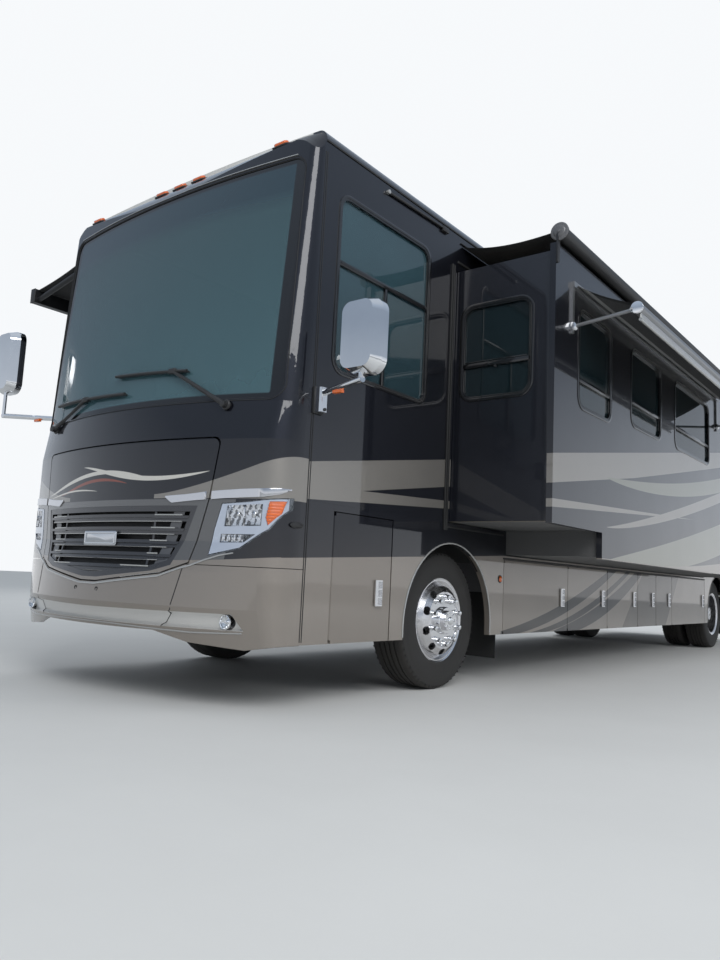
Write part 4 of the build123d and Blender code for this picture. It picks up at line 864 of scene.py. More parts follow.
def make_wheel_metal():
    """Polished forged wheels: turned rings, brake dust in the hollows, painted shade in the hand holes and the
    recessed middle, which is rougher too.
    """
    wheel = Finish("wheel_metal", (0.75, 0.75, 0.77), Metallic=1.0)
    x, _, _, radius = round_hub(wheel)
    line = {"W": radius, "Scale": 900, "Detail": 2}
    turned = wheel.add("ShaderNodeTexNoise", {"noise_dimensions": "1D"}, line)
    dust = wheel.noise(9, 5, 0.7) * (radius.between(0.2, 0.285, 0.03) * 0.6 + 0.25)
    # Painted shade: the recessed middle and the hand holes are darkened; the same mask makes them rougher.
    inner = abs(x).under(1.1, 0.08) * radius.under(0.27, 0.01)
    colour = wheel.mix(dust * 0.6, (0.8, 0.8, 0.82), (0.25, 0.23, 0.21))
    wheel.feed("Base Color", wheel.mix(inner * 0.75, colour, (0.06, 0.058, 0.055)))
    wheel.feed("Roughness", 0.07 + 0.06 * turned + 0.35 * dust + 0.3 * inner)
    wheel.bump(turned, 0.04, 0.0004)


def make_tyre():
    """Black rubber: fine ribs on the sidewall, sipes across the tread, dust near the edge."""
    tyre = Finish("tyre_rubber", (0.016, 0.016, 0.016), Roughness=0.75)
    x, behind, up, radius = round_hub(tyre)
    angle = up.maths("ARCTAN2", up, behind)
    tread = radius.over(0.478, 0.004)
    sipes = (angle * 380 + x * 60).sine().over(0.1, 0.5) * tread
    ribs = (radius * 900).sine() * radius.between(0.33, 0.345, 0.004)
    fine_ribs = (angle * 240).sine() * radius.between(0.405, 0.44, 0.004) * 0.4
    dust = tyre.noise(7, 5, 0.7)
    colour = tyre.mix(dust * (0.25 + 0.35 * tread), (0.013, 0.013, 0.013), (0.07, 0.062, 0.054))
    tyre.feed("Base Color", colour)
    tyre.feed("Roughness", 0.62 + 0.2 * dust + 0.08 * tread)
    tyre.bump(sipes + ribs * 0.5 + fine_ribs + tyre.noise(300, 2) * 0.06, 0.5, 0.0022)


def make_cloth(name, colour, hem=None):
    """Woven coated cloth, its threads read from the sheet's own map in metres, with or without a pale hem."""
    cloth = Finish(name, colour, Roughness=0.8, Sheen_Weight=0.08)
    across, along, _ = cloth.parts(cloth.add("ShaderNodeUVMap", {"uv_map": "cloth"}))
    weave = (across * THREADS).sine() * (along * THREADS).sine()
    stain = cloth.noise(2.2, 5, 0.65)
    seam = along.maths("PINGPONG", along, 0.62).under(0.006, 0.003)
    base = cloth.mix(stain, times(colour, 0.8), times(colour, 1.35))
    if hem is not None:
        base = cloth.mix(across.under(hem[0]), base, hem[1])
    cloth.feed("Base Color", cloth.mix(seam * 0.5, base, times(colour, 0.4)))
    cloth.feed("Roughness", 0.74 + 0.12 * stain)
    cloth.bump(weave + 3 * seam, 0.25, 0.0005)


def make_leather(colours):
    """Seat leather: pebble grain and creases, with painted shade in the grain's pits and the creases' low
    parts.
    """
    colour = tuple(colours.leather)
    hide = Finish("seat_leather", colour, Roughness=0.5, Sheen_Weight=0.04)
    grain = hide.cells(330)
    crease = hide.noise(16, 5, 0.65)
    # Painted shade: darker where the creases' relief is low, and below in the pits of the grain.
    tone = hide.mix(crease, times(colour, 0.75), colour)
    hide.feed("Base Color", hide.mix(grain.under(0.12, 0.1) * 0.35, tone, times(colour, 0.5)))
    hide.feed("Roughness", 0.42 + 0.22 * crease)
    hide.bump(grain + 0.8 * crease, 0.3, 0.001)


def make_lamps():
    """The lamps' bowls, lenses and coloured covers."""
    for name, dim, bright in (
        ("lamp_bowl", (0.62, 0.63, 0.66), (0.85, 0.86, 0.88)),
        ("lamp_housing", (0.1, 0.105, 0.115), (0.17, 0.18, 0.2)),
    ):
        bowl = Finish(name, bright, Metallic=1.0)
        x, y, z = bowl.axes()
        wide, tail = abs(x), y.over(5)
        flute = (z * 260).sine() * (wide * 260).sine()
        mottle = bowl.noise(42, 3, 0.6)
        band = (wide * 190 + mottle * 9).sine() * (z * 70 + mottle * 7).sine()
        shade = bowl.noise(6, 3)
        shadow = band.over(0.15, 0.25) * (1 - tail)
        silver = bowl.mix(shadow, bowl.mix(shade, dim, bright), times(dim, 0.3))
        colour = bowl.mix(tail * z.under(TAIL_RED_TOP), silver, (0.45, 0.01, 0.01))
        bowl.feed("Base Color", bowl.mix(tail * z.over(TAIL_RED_TOP), colour, (0.8, 0.24, 0.03)))
        bowl.feed("Metallic", 1 - tail * 0.9)
        bowl.feed("Roughness", 0.1 + 0.1 * shade)
        bowl.bump(flute * tail + 0.5 * band + 0.1 * shade, 0.25, 0.002)

    lens = Finish("lens_clear", (0.5, 0.55, 0.6), Roughness=0.03, IOR=1.5)
    haze = lens.noise(11, 4, 0.6)
    lens.feed("Base Color", lens.mix(haze, (0.4, 0.45, 0.5), (0.55, 0.6, 0.65)))
    lens.feed("Alpha", 0.05 + 0.04 * haze)
    lens.feed("Roughness", 0.02 + 0.05 * haze)

    for name, colour in (("lens_amber", (0.85, 0.15, 0.006)), ("lens_red", (0.6, 0.012, 0.01))):
        cover = Finish(name, colour, Roughness=0.12, IOR=1.49, Coat_Weight=1.0, Coat_Roughness=0.02)
        x, y, z = ((axis * 700).sine() for axis in cover.axes())
        tone = cover.noise(60, 2)
        cover.feed("Base Color", cover.mix(tone, times(colour, 0.7), colour))
        cover.feed("Roughness", 0.1 + 0.08 * tone)
        cover.bump(y * z + x, 0.12, 0.0008)


def make_roof_shell():
    """White moulded roof skin and housings with street grime, gloss black along the roof's edges."""
    shell = Finish("roof_white", (0.72, 0.72, 0.7), Coat_Weight=0.3, Coat_Roughness=0.15)
    x, _, z = shell.axes()
    edge = abs(x).over(1.17, 0.01) * z.under(3.56)
    grime = shell.noise(3, 6, 0.7)
    colour = shell.mix(grime * 0.6, (0.74, 0.74, 0.72), (0.42, 0.4, 0.36))
    shell.feed("Base Color", shell.mix(edge, colour, (0.012, 0.013, 0.018)))
    shell.feed("Roughness", 0.45 + 0.25 * grime - 0.25 * edge)
    shell.feed("Coat Weight", 0.3 + 0.7 * edge)
    shell.bump(shell.noise(160, 3), 0.12, 0.0006)


def make_slide_dark():
    """The slide-out's ends, roof and floor: dark gloss panels outside, plain lining within."""
    panel = Finish("slide_panel", GLOSS_BLACK, Metallic=0.5, Coat_Weight=1.0, Coat_Roughness=0.03)
    _, y, _ = panel.axes()
    outside = (y.under(SLIDE_Y[0] + 0.004) + y.over(SLIDE_Y[1] - 0.004)).lowest(1)
    lining = 1 - outside
    cloud = panel.noise(2.3, 3)
    dark = panel.mix(cloud, (0.010, 0.011, 0.016), (0.016, 0.018, 0.026))
    panel.feed("Base Color", panel.mix(lining, dark, LINING))
    panel.feed("Metallic", 0.5 * outside)
    panel.feed("Coat Weight", outside)
    panel.feed("Roughness", 0.3 + 0.1 * cloud + 0.35 * lining)
    panel.bump(panel.blend(lining, panel.noise(34, 2), panel.noise(240, 2)), 0.06, 0.0006)


# The frame nodes that take each finish.
DRESSED = {
    "coach_paint": (
        "front_cap", "side_wall_left", "side_skirts_left", "side_wall_right", "rear_cap", "entry_door",
        "slide_outer_wall", "front_bumper", "hood_door", "engine_door",
    ),
    "door_paint": [name for name in NODES if name.startswith("bay_door")],
    "slide_panel": ("slide_shell",),
    "roof_white": ("roof", "roof_air_conditioners"),
    "windscreen_glass": ("windshield",),
    "window_glass": ("body_windows", "entry_door_window", "slide_windows"),
    "lens_clear": ("headlamp_lenses",),
    "lamp_housing": ("lamps",),
    "chrome": ("mirrors",),
    "black_plastic": ("wipers", "topper_roller"),
    "grille_metal": ("grille",),
    "dash_plastic": ("dashboard",),
    "seat_leather": ("cockpit_seats",),
    "flap_rubber": ("mud_flaps",),
    "awning_dark": ("entry_awning",),
    "awning_metal": ("window_awning",),
    "tyre_rubber": [name for name in NODES if "tyre" in name],
    "wheel_metal": [name for name in NODES if "rim" in name],
    "frame_black": ("chassis_frame",),
    "cast_steel": ("axles", "knuckle_left", "knuckle_right", "engine"),
    "floor_grey": ("cabin_floor", "entry_steps", "slide_floor"),
    "storage_grey": ("storage_bays", "storage_bay_rear"),
}


class MOTORHOME_OT_finishes(bpy.types.Operator):
    """Every finish of the vehicle, and the finish of each frame node that shows"""

    bl_idname = "motorhome.finishes"
    bl_label = "Finishes"

    def execute(self, context):
        colours = context.scene.motorhome_colours
        make_paint(colours)
        make_door_paint(colours)
        make_slide_dark()
        make_roof_shell()
        make_chrome()
        make_wheel_metal()
        make_tyre()
        make_lamps()
        make_leather(colours)
        make_glass("windscreen_glass", tuple(colours.glass), 0.78, screen=True)
        make_glass("window_glass", times(colours.glass, 0.6), 0.9)
        make_cloth("awning_cloth", tuple(colours.awning))
        make_cloth("window_awning_cloth", tuple(colours.awning), (0.1, (0.36, 0.36, 0.35)))
        for name, (colour, roughness, more) in PLAIN.items():
            make_plain(name, colour, roughness, **more)
        for material, names in DRESSED.items():
            for place in (slot for name in names for slot in NODES[name].material_slots):
                place.material = FINISHES[material].material
        return {"FINISHED"}


# Pieces


class MOTORHOME_OT_window_frames(bpy.types.Operator):
    """Black frames, divider bars and latches of every window"""

    bl_idname = "motorhome.window_frames"
    bl_label = "Window frames"

    def rings(self, opening, radius, width, proud, bead):
        """A window's outer ring and the bead inside it."""
        made = window_ring(opening, radius, width, 0.004, -proud)
        return made.take(window_ring(opening, radius, bead, 0.02, -0.002, 0.001, 0.012))

    def window(self, opening, sizes, radius=0.09, bar=None, slider=None):
        """A window's frame, with a divider bar at a height and an upright slider under it."""
        a0, a1, b0, b1 = opening
        made = self.rings(opening, radius, sizes.frame_width, sizes.frame_proud, 0.01)
        if bar is not None:
            b1 = bar
            made.take(block(a0 + 0.008, a1 - 0.008, 0.0, 0.019, bar - 0.016, bar + 0.016))
            made.take(block(a0 + 0.03, a1 - 0.03, -0.003, 0.004, bar - 0.005, bar + 0.005, 0.001))
        if slider is not None:
            middle = (b0 + b1) / 2
            made.take(block(slider - 0.013, slider + 0.013, 0.002, 0.019, b0 + 0.008, b1 - 0.008))
            made.take(block(slider - 0.004, slider + 0.014, -0.01, 0.004, middle - 0.05, middle + 0.05))
        return made

    def execute(self, context):
        sizes = context.scene.motorhome_sizes
        form = Form().take(self.window(DRIVER_WINDOW, sizes, bar=2.69, slider=-0.93), on_side(1, HALF_WIDTH))
        for opening in RIGHT_WINDOWS:
            form.take(self.window(opening, sizes, bar=opening[2] + VENT_UP), on_side(-1, HALF_WIDTH))
        piece("window_frames_body", form, "coach", "black_gloss")

        form = Form()
        for opening in SLIDE_WINDOWS:
            form.take(self.window(opening, sizes, bar=opening[2] + VENT_UP), on_side(1, SLIDE_X))
        a0, a1, _, _ = SLIDE_END_WINDOW
        middle = (a0 + a1) / 2
        made = self.rings(SLIDE_END_WINDOW, 0.09, 0.022, 0.0055, 0.012)
        made.take(block(a0 + 0.008, a1 - 0.008, -0.002, 0.019, 2.335, 2.368))
        made.take(block(a0 + 0.03, a1 - 0.03, -0.004, 0.004, 2.372, 2.38, 0.001))
        made.take(rod((middle, 0.003, 2.325), (middle, -0.0055, 2.325), 0.012, edge=0.002))
        form.take(made, Matrix.Translation((0, SLIDE_Y[0], 0)))
        piece("window_frames_slide", form, "slide_room", "black_gloss")

        form = Form().take(self.window(ENTRY_WINDOW, sizes, 0.15), on_side(-1, HALF_WIDTH))
        piece("window_frame_entry", form, "entry", "black_gloss")
        return {"FINISHED"}


class MOTORHOME_OT_front_trim(bpy.types.Operator):
    """The bright strip over the headlamps, the windscreen's seal and brow, the bumper's lips and seams"""

    bl_idname = "motorhome.front_trim"
    bl_label = "Front trim"

    def execute(self, context):
        outer = (
            (1.279, 1.233, 1.243), (1.25, 1.206, 1.243), (1.18, 1.189, 1.238), (1.06, 1.184, 1.234),
            (0.94, 1.178, 1.226), (0.87, 1.173, 1.221),
        )
        inner = (
            (0.836, 1.171, 1.218), (0.76, 1.166, 1.209), (0.69, 1.16, 1.202), (0.6, 1.152, 1.197),
            (0.585, 1.158, 1.196), (0.545, 1.185, 1.193),
        )
        piece("brow_strip", both(lambda: bowed_strip(outer, 0.008)), "coach", "bright_trim", 20)
        form = both(lambda: bowed_strip(inner, 0.008, steps=25))
        piece("hood_strip", form, "hood", "bright_trim", 20)

        corners = [SCREEN_TOP, SCREEN_LOW] + [(-x, z) for x, z in (SCREEN_LOW, SCREEN_TOP)]
        outline = outline_face([(x * 1.008, z + (0.012 if z > 2.5 else -0.012)) for x, z in corners], 0.1, 8)
        seal = drape(ring_of(outline, 0.017, 0.006, -0.004, 0.0012, cuts=24))
        piece("windscreen_seal", seal, "coach", "black_rubber")

        top = SCREEN_TOP[1]
        rows = [(x, top + up, top + up + 0.006) for x, up in ((1.15, 0.016), (0.6, 0.018), (0.0, 0.018))]
        form = both(lambda: bowed_strip(rows, 0.004, steps=24))
        piece("windscreen_brow", form, "coach", "pale_trim")

        upper = (
            (1.03, 0.868, 0.876), (0.95, 0.851, 0.86), (0.86, 0.82, 0.83), (0.784, 0.788, 0.799),
            (0.726, 0.772, 0.783), (0.583, 0.719, 0.731), (0.344, 0.689, 0.701), (0.08, 0.655, 0.667),
            (0.0, 0.655, 0.667),
        )
        lower = (
            (1.1, 0.428, 0.436), (1.0, 0.423, 0.431), (0.81, 0.416, 0.425), (0.6, 0.42, 0.429),
            (0.22, 0.43, 0.438), (0.0, 0.43, 0.438),
        )
        form = both(lambda: bowed_strip(upper, 0.005, steps=48))
        form.take(both(lambda: bowed_strip(lower, 0.005, steps=30)))
        piece("bumper_lip", form, "coach", "pale_trim")

        seams = both(lambda: falling_strip(((0.736, 0.778), (0.698, 0.542), (0.62, 0.44)), 0.005, 0.0015))
        plug = [(0.004, 0.013), (-0.002, 0.013), (-0.002, 0.009), (0.004, 0.0)]
        for x, z in ((0.11, 0.628), (-0.11, 0.628)):
            seams.take(lathe(plug, (x, front_y(x, z), z), "Y", 24, False))
        piece("bumper_seams", seams, "coach", "black_rubber")
        return {"FINISHED"}


class MOTORHOME_OT_headlamps(bpy.types.Operator):
    """Under the headlamp covers: a pierced bright plate, shallow dishes with caps, ribs, an amber segment"""

    bl_idname = "motorhome.headlamps"
    bl_label = "Headlamps"

    def dish(self, x0, x1, z0, z1):
        """A shallow reflector, deepest at its middle."""
        form = grid(12, 10)
        form.move(lambda p: Vector((p.x, 0.0042 - 0.012 * (p.x * p.x + p.y * p.y), p.y)))
        thicken(form, 0.0006, 0.0)
        x, z = (x0 + x1) / 2, (z0 + z1) / 2
        return drape(form.move(lambda p: Vector((x + (x1 - x0) * p.x, p.y, z + (z1 - z0) * p.z))))

    def bulb(self, x, z, radius):
        """A small bright cap in front of a reflector."""
        profile = [(0.004, radius), (0.001, radius * 0.9), (-0.002, radius * 0.55), (-0.003, 0.0)]
        return lathe(profile, (x, front_y(x, z), z), "Y", 24, False)

    def lamp(self):
        form = self.dish(1.004, 1.072, 1.024, 1.146)
        form.take(self.dish(1.084, 1.172, 1.034, 1.148))
        form.take(self.dish(0.95, 1.08, 0.933, 0.974))
        form.take(self.bulb(1.036, 1.09, 0.014))
        form.take(self.bulb(1.128, 1.092, 0.02))
        ribs = [(x, 0.0028, 1.026, 1.142, 0.001) for x in steps_from(0.976, 0.0085, 4)]
        ribs += [(x, 0.0045, 0.936, 0.97, 0.0015) for x in steps_from(0.956, 0.0145, 9)]
        for x, half, low, high, edge in ribs:
            form.take(drape(block(x - half, x + half, -0.0015, 0.003, low, high, edge)))
        for z in steps_from(1.05, 0.032, 3):
            form.take(drape(block(1.088, 1.168, -0.001, 0.003, z - 0.0015, z + 0.0015, 0.0006)))
        return form.take(drape(block(1.074, 1.082, -0.003, 0.003, 1.02, 1.15, 0.001)))

    def amber(self):
        form = drape(pierced(LAMP_AMBER, (), 0.015, 0.0045, 0.003))
        for z in steps_from(1.037, 0.0172, 7):
            top = z + 0.0115
            (a0, a1), (b0, b1) = span(LAMP_AMBER, z), span(LAMP_AMBER, top)
            form.take(drape(block(max(a0, b0) + 0.002, min(a1, b1) - 0.002, -0.0035, 0.0042, z, top, 0.002)))
        return form

    def execute(self, context):
        holes = (LAMP_BOX, LAMP_STRIP, LAMP_AMBER)
        form = both(lambda: drape(pierced(LAMP_OUTLINE, holes, 0.02, 0.003, -0.003)))
        piece("headlamp_rims", form, "coach", "lamp_rim")
        piece("headlamp_insides", both(self.lamp), "coach", "lamp_bowl")
        piece("headlamp_amber", both(self.amber), "coach", "lens_amber")

        ring = [
            (0.0, 0.043), (-0.006, 0.042), (-0.008, 0.039), (-0.005, 0.035), (0.001, 0.0335), (0.004, 0.0335),
            (0.004, 0.043),
        ]
        ribbed = [
            (0.003, 0.033), (0.0065, 0.028), (0.005, 0.025), (0.0085, 0.02), (0.007, 0.017), (0.009, 0.01),
            (0.001, 0.008), (0.0, 0.0),
        ]
        cover = [(0.003, 0.0335), (-0.001, 0.028), (-0.003, 0.014), (-0.0035, 0.0)]
        x, z = FOG_LAMP
        face_y = front_y(x + 0.038, z, surface_of("lamps"))
        rings, glass = Form(), Form()
        for place in ((x, face_y, z), (-x, face_y, z)):
            rings.take(lathe(ring, place, "Y", 40)).take(lathe(ribbed, place, "Y", 32, False))
            glass.take(lathe(cover, place, "Y", 32, False))
        piece("fog_lamp_rings", rings, "coach", "chrome")
        piece("fog_lamp_glass", glass, "coach", "lens_clear")
        return {"FINISHED"}


class MOTORHOME_OT_grille_pieces(bpy.types.Operator):
    """The grille's bright bar edges, the two upright bands, the dark mesh behind them and the bare plate"""

    bl_idname = "motorhome.grille_pieces"
    bl_label = "Grille pieces"

    def edge_line(self, reach, low, tall, proud, edge):
        """A thin line along a grille bar, from its end to the centre line."""
        rows = [(x, low, low + tall) for x in (reach, 0.3, 0.0)]
        return both(lambda: bowed_strip(rows, proud, 0.001, 16, edge, bar_y))

    def execute(self, context):
        form = Form()
        for k in range(BARS):
            low, reach = BAR_Z - 0.022 + BAR_PITCH * k, 0.5 + 0.045 * k
            form.take(self.edge_line(reach, low + 0.036, 0.008, 0.003, 0.0008))
            form.take(self.edge_line(reach, low, 0.004, 0.0015, 0))
        piece("grille_bar_edges", form, "hood", "pale_trim")

        form = Form()
        for side in (1, -1):
            band = grid(2, 8)
            band.move(lambda p: Vector((side * (0.6 + 0.085 * p.y + 0.08 * p.x), 0, 0.935 + 0.35 * p.y)))
            form.take(drape(thicken(band, 0.004, -0.0005), lambda x, z: nose_y(x, z) + 0.012))
        piece("grille_bands", form, "hood", "grille_band")

        form = grid(24, 8).move(lambda p: Vector((1.22 * p.x * (1 + 0.25 * p.y), 0, 0.925 + 0.37 * p.y)))
        drape(thicken(form, 0.004, 0.0), lambda x, z: nose_y(x, z) + 0.05)
        piece("grille_mesh", form, "hood", "grille_screen", 0)

        nose = bar_y(0, 0.93)
        outline = outline_face([(-0.17, 0.893), (0.17, 0.893), (0.17, 0.983), (-0.17, 0.983)], 0.012)
        form = thicken(outline, 0.0, -0.009).soften(0.003, 2, 60)
        form.take(window_ring((-0.156, 0.156, 0.905, 0.971), 0.006, 0.004, -0.008, -0.0115, 0.001))
        form.mesh.transform(Matrix.Translation((0, nose, 0)))
        piece("grille_plate", form, "hood", "blank_plate")
        return {"FINISHED"}


class MOTORHOME_OT_marker_lamps(bpy.types.Operator):
    """Amber and red marker lamps on the cap's top, the sides and the tail, with their dark bases"""

    bl_idname = "motorhome.marker_lamps"
    bl_label = "Marker lamps"

    def dome(self, length, wide, tall):
        form = block(-length / 2, length / 2, -wide / 2, wide / 2, 0, tall, 0)
        return form.soften(min(wide, tall) * 0.42, 4)

    def execute(self, context):
        cap = surface_of("front_cap")
        ambers, bases = Form(), Form()
        y, lean = -1.675, Matrix.Rotation(math.radians(28), 4, "X")
        for x in (-0.98, -0.2, 0.0, 0.2, 0.98):
            up = cap.ray_cast(Vector((x, y, 4)), Vector((0, 0, -1)))[0].z
            ambers.take(self.dome(0.1, 0.045, 0.028), Matrix.Translation((x, y, up - 0.004)) @ lean)
            bases.take(self.dome(0.122, 0.06, 0.012), Matrix.Translation((x, y, up - 0.006)) @ lean)
        lens = [(0.0, 0.5), (-0.25, 0.48), (-0.45, 0.3), (-0.5, 0.0)]
        rim = [(0.0, 0.62), (-0.2, 0.6), (-0.2, 0.49), (0.0, 0.48)]
        corner = (-1.673, 1.044)
        for side in (1, -1):
            edge_x = cap.ray_cast(Vector((3, *corner)), Vector((-1, 0, 0)))[0].x
            for (y, z), x, wide, tall, lenses in (
                ((0.744, 0.813), HALF_WIDTH, 0.05, 0.05, ambers), (corner, edge_x, 0.09, 0.032, bases),
            ):
                place = on_side(side, x - 0.001) @ Matrix.Translation((y, 0, z))
                place = place @ Matrix.Diagonal((wide, 0.03, tall, 1))
                lenses.take(lathe(lens, axis="Y", steps=28, closed=False), place)
                bases.take(lathe(rim, axis="Y", steps=28), place)
        piece("marker_lamps_front", ambers, "coach", "lens_amber")
        reds = Form()
        for x in (-1.0, -0.2, 0.0, 0.2, 1.0):
            reds.take(plate(x - 0.05, x + 0.05, 3.31, 3.34, 0.012, 0.002, -0.02, 0.004), ON_TAIL)
            bases.take(plate(x - 0.06, x + 0.06, 3.302, 3.348, 0.014, 0.002, -0.007, 0.002), ON_TAIL)
        for side in (1, -1):
            lamp = plate(9.78, 9.86, 0.66, 0.695, 0.012, 0.002, -0.014, 0.004)
            reds.take(lamp, on_side(side, HALF_WIDTH - 0.0005))
        piece("marker_lamps_tail", reds, "coach", "lens_red")
        piece("marker_lamp_bases", bases, "coach", "black_plastic")
        return {"FINISHED"}


class MOTORHOME_OT_wheels(bpy.types.Operator):
    """Road tyres with their grooves and blocks, wheel nuts under long covers, hub rings and caps"""

    bl_idname = "motorhome.wheels"
    bl_label = "Wheels"

    def tyre(self, x, y):
        half = [
            (-0.118, 0.2865), (-0.124, 0.296), (-0.128, 0.308), (-0.1335, 0.318), (-0.1375, 0.34),
            (-0.1398, 0.372), (-0.1398, 0.4), (-0.1375, 0.428), (-0.1365, 0.431), (-0.134, 0.45),
            (-0.1325, 0.462), (-0.126, 0.476), (-0.117, 0.485), (-0.1, 0.4885), (-0.068, 0.4905),
            (-0.066, 0.479), (-0.058, 0.479), (-0.056, 0.4908), (-0.026, 0.4915), (-0.024, 0.4785),
            (-0.015, 0.4785), (-0.013, 0.4918),
        ]
        return lathe(half + [(-a, r) for a, r in reversed(half)], (x, y, HUB_Z), "X", 96)

    def blocks(self, x, y, count):
        """The shoulder blocks: shallow ribs across the tread's edges."""
        form = Form()
        for k in range(count):
            turn = Matrix.Rotation(math.tau * k / count, 4, "X") @ Matrix.Translation((0, 0, 0.4815))
            for sign in (1, -1):
                shoulder = Matrix.Translation((x + sign * 0.122, y, HUB_Z))
                rib = block(-0.016, 0.016, -0.0032, 0.0032, -0.006, 0.0012, 0)
                form.take(rib, shoulder @ turn @ Matrix.Rotation(sign * 0.5, 4, "Y"))
        return form

    def around(self, y, radius, count, offset=0.0):
        """Places round a hub, behind the front axle and up."""
        angles = [math.tau * (k + offset) / count for k in range(count)]
        return [(y + radius * math.cos(a), HUB_Z + radius * math.sin(a)) for a in angles]

    def stub(self, x, side, place, start, end, *shape, **more):
        """A round bar outwards from a wheel's face, between two distances from it."""
        return rod((x + side * start, *place), (x + side * end, *place), *shape, **more)

    def nuts(self, x, y, side, circle, reaches):
        """The nuts' flanges and long covers, each between two distances from the wheel's face."""
        form = Form()
        for place in self.around(y, circle, NUTS, 0.5):
            form.take(self.stub(x, side, place, *reaches[0], 0.024, 20, edge=0.002))
            form.take(self.stub(x, side, place, *reaches[1], 0.0185, 16, 0.0165, edge=0.003))
        return form

    def execute(self, context):
        sizes = context.scene.motorhome_sizes
        ring = [(-0.05, 0.1), (-0.006, 0.097), (0.0, 0.09), (0.0, 0.084), (-0.012, 0.08), (-0.05, 0.08)]
        for side, word in ((1, "left"), (-1, "right")):
            x = side * FRONT_WHEEL_X
            wheel = f"front_wheel_{word}"
            made = piece(f"tyre_front_{word}", self.tyre(x, 0), wheel, "tyre_rubber", 40)
            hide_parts(f"front_tyre_{word}")
            form = self.blocks(x, 0, sizes.tread_blocks)
            piece(f"tread_front_{word}", form, wheel, "tyre_rubber", 0)
            form = self.nuts(x + side * 0.164, 0, side, sizes.nut_circle, ((0, 0.009), (0.009, 0.05)))
            end = side * (HALF_WIDTH + 0.004)
            hub = lathe(ring, (HALF_WIDTH + 0.004 - 0.03, 0, HUB_Z), "X", 48)
            form.take(hub, None if side > 0 else MIRROR)
            for place in self.around(0, 0.055, 8):
                form.take(self.stub(end, side, place, -0.004, 0.007, 0.0085, 6, edge=0.0015))
            form.take(self.stub(end, side, (0, HUB_Z), -0.002, 0.01, 0.03, 32, 0.024, edge=0.003))
            piece(f"wheel_nuts_front_{word}", form, wheel, "chrome")

            wheel = f"rear_wheels_{word}"
            form = joined(*(self.tyre(side * place, WHEELBASE) for place in DUAL_X))
            made = piece(f"tyres_rear_{word}", form, wheel, "tyre_rubber", 40)
            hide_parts(f"rear_tyres_{word}")
            form = joined(*(self.blocks(side * place, WHEELBASE, sizes.tread_blocks) for place in DUAL_X))
            piece(f"tread_rear_{word}", form, wheel, "tyre_rubber", 0)
            face, end = side * (DUAL_X[0] - 0.143), side * (DUAL_X[0] + 0.09)
            form = self.nuts(face, WHEELBASE, side, sizes.nut_circle, ((-0.003, 0.009), (0.008, 0.05)))
            form.take(self.stub(end, side, (WHEELBASE, HUB_Z), -0.002, 0.008, 0.04, 32, 0.034, edge=0.003))
            piece(f"wheel_nuts_rear_{word}", form, wheel, "chrome")
        return {"FINISHED"}


class MOTORHOME_OT_mirror_pieces(bpy.types.Operator):
    """The mirrors' glasses, seams, marker lamps under their arms and the dark brackets"""

    bl_idname = "motorhome.mirror_pieces"
    bl_label = "Mirror pieces"

    def execute(self, context):
        glass, trim, ambers = Form(), Form(), Form()
        for side, x, y, low, high, arm_z in (
            (1, 1.678, -1.59, 1.876, 2.306, 1.822), (-1, -1.83, -1.79, 2.112, 2.622, 1.905),
        ):
            split = low + (high - low) * 0.3
            face = Matrix.Translation((0, y, 0))
            glass.take(plate(x - 0.1, x + 0.1, split + 0.008, high - 0.032, 0.05, -0.006, -0.002), face)
            glass.take(plate(x - 0.1, x + 0.1, low + 0.032, split - 0.008, 0.045, -0.006, -0.002), face)
            outline = rounded_face(x - 0.108, x + 0.108, low + 0.024, high - 0.024, 0.06)
            trim.take(ring_of(outline, 0.008, -0.0065, 0.001), face)
            trim.take(block(x - 0.104, x + 0.104, y - 0.0065, y - 0.0005, split - 0.007, split + 0.007, 0.001))
            root = side * HALF_WIDTH
            inner, outer = sorted((root, root + side * 0.012))
            arm_y = MIRROR_ARM_Y
            trim.take(block(inner, outer, arm_y - 0.042, arm_y + 0.042, arm_z - 0.118, arm_z + 0.044, 0.004))
            for z in (arm_z - 0.095, arm_z + 0.02):
                start, end = (root + side * 0.05, arm_y, z), (root + side * 0.067, arm_y, z)
                trim.take(rod(start, end, 0.011, 6, edge=0.002))
            x, y = (root + x) / 2, (arm_y + y - 0.06) / 2
            low, high = arm_z - 0.022, arm_z - 0.002
            ambers.take(block(x - 0.035, x + 0.035, y - 0.014, y + 0.014, low, high, 0.005, 3))
        piece("mirror_glass", glass, "coach", "mirror_face")
        piece("mirror_trim", trim, "coach", "black_plastic")
        piece("mirror_lamps", ambers, "coach", "lens_amber")
        return {"FINISHED"}


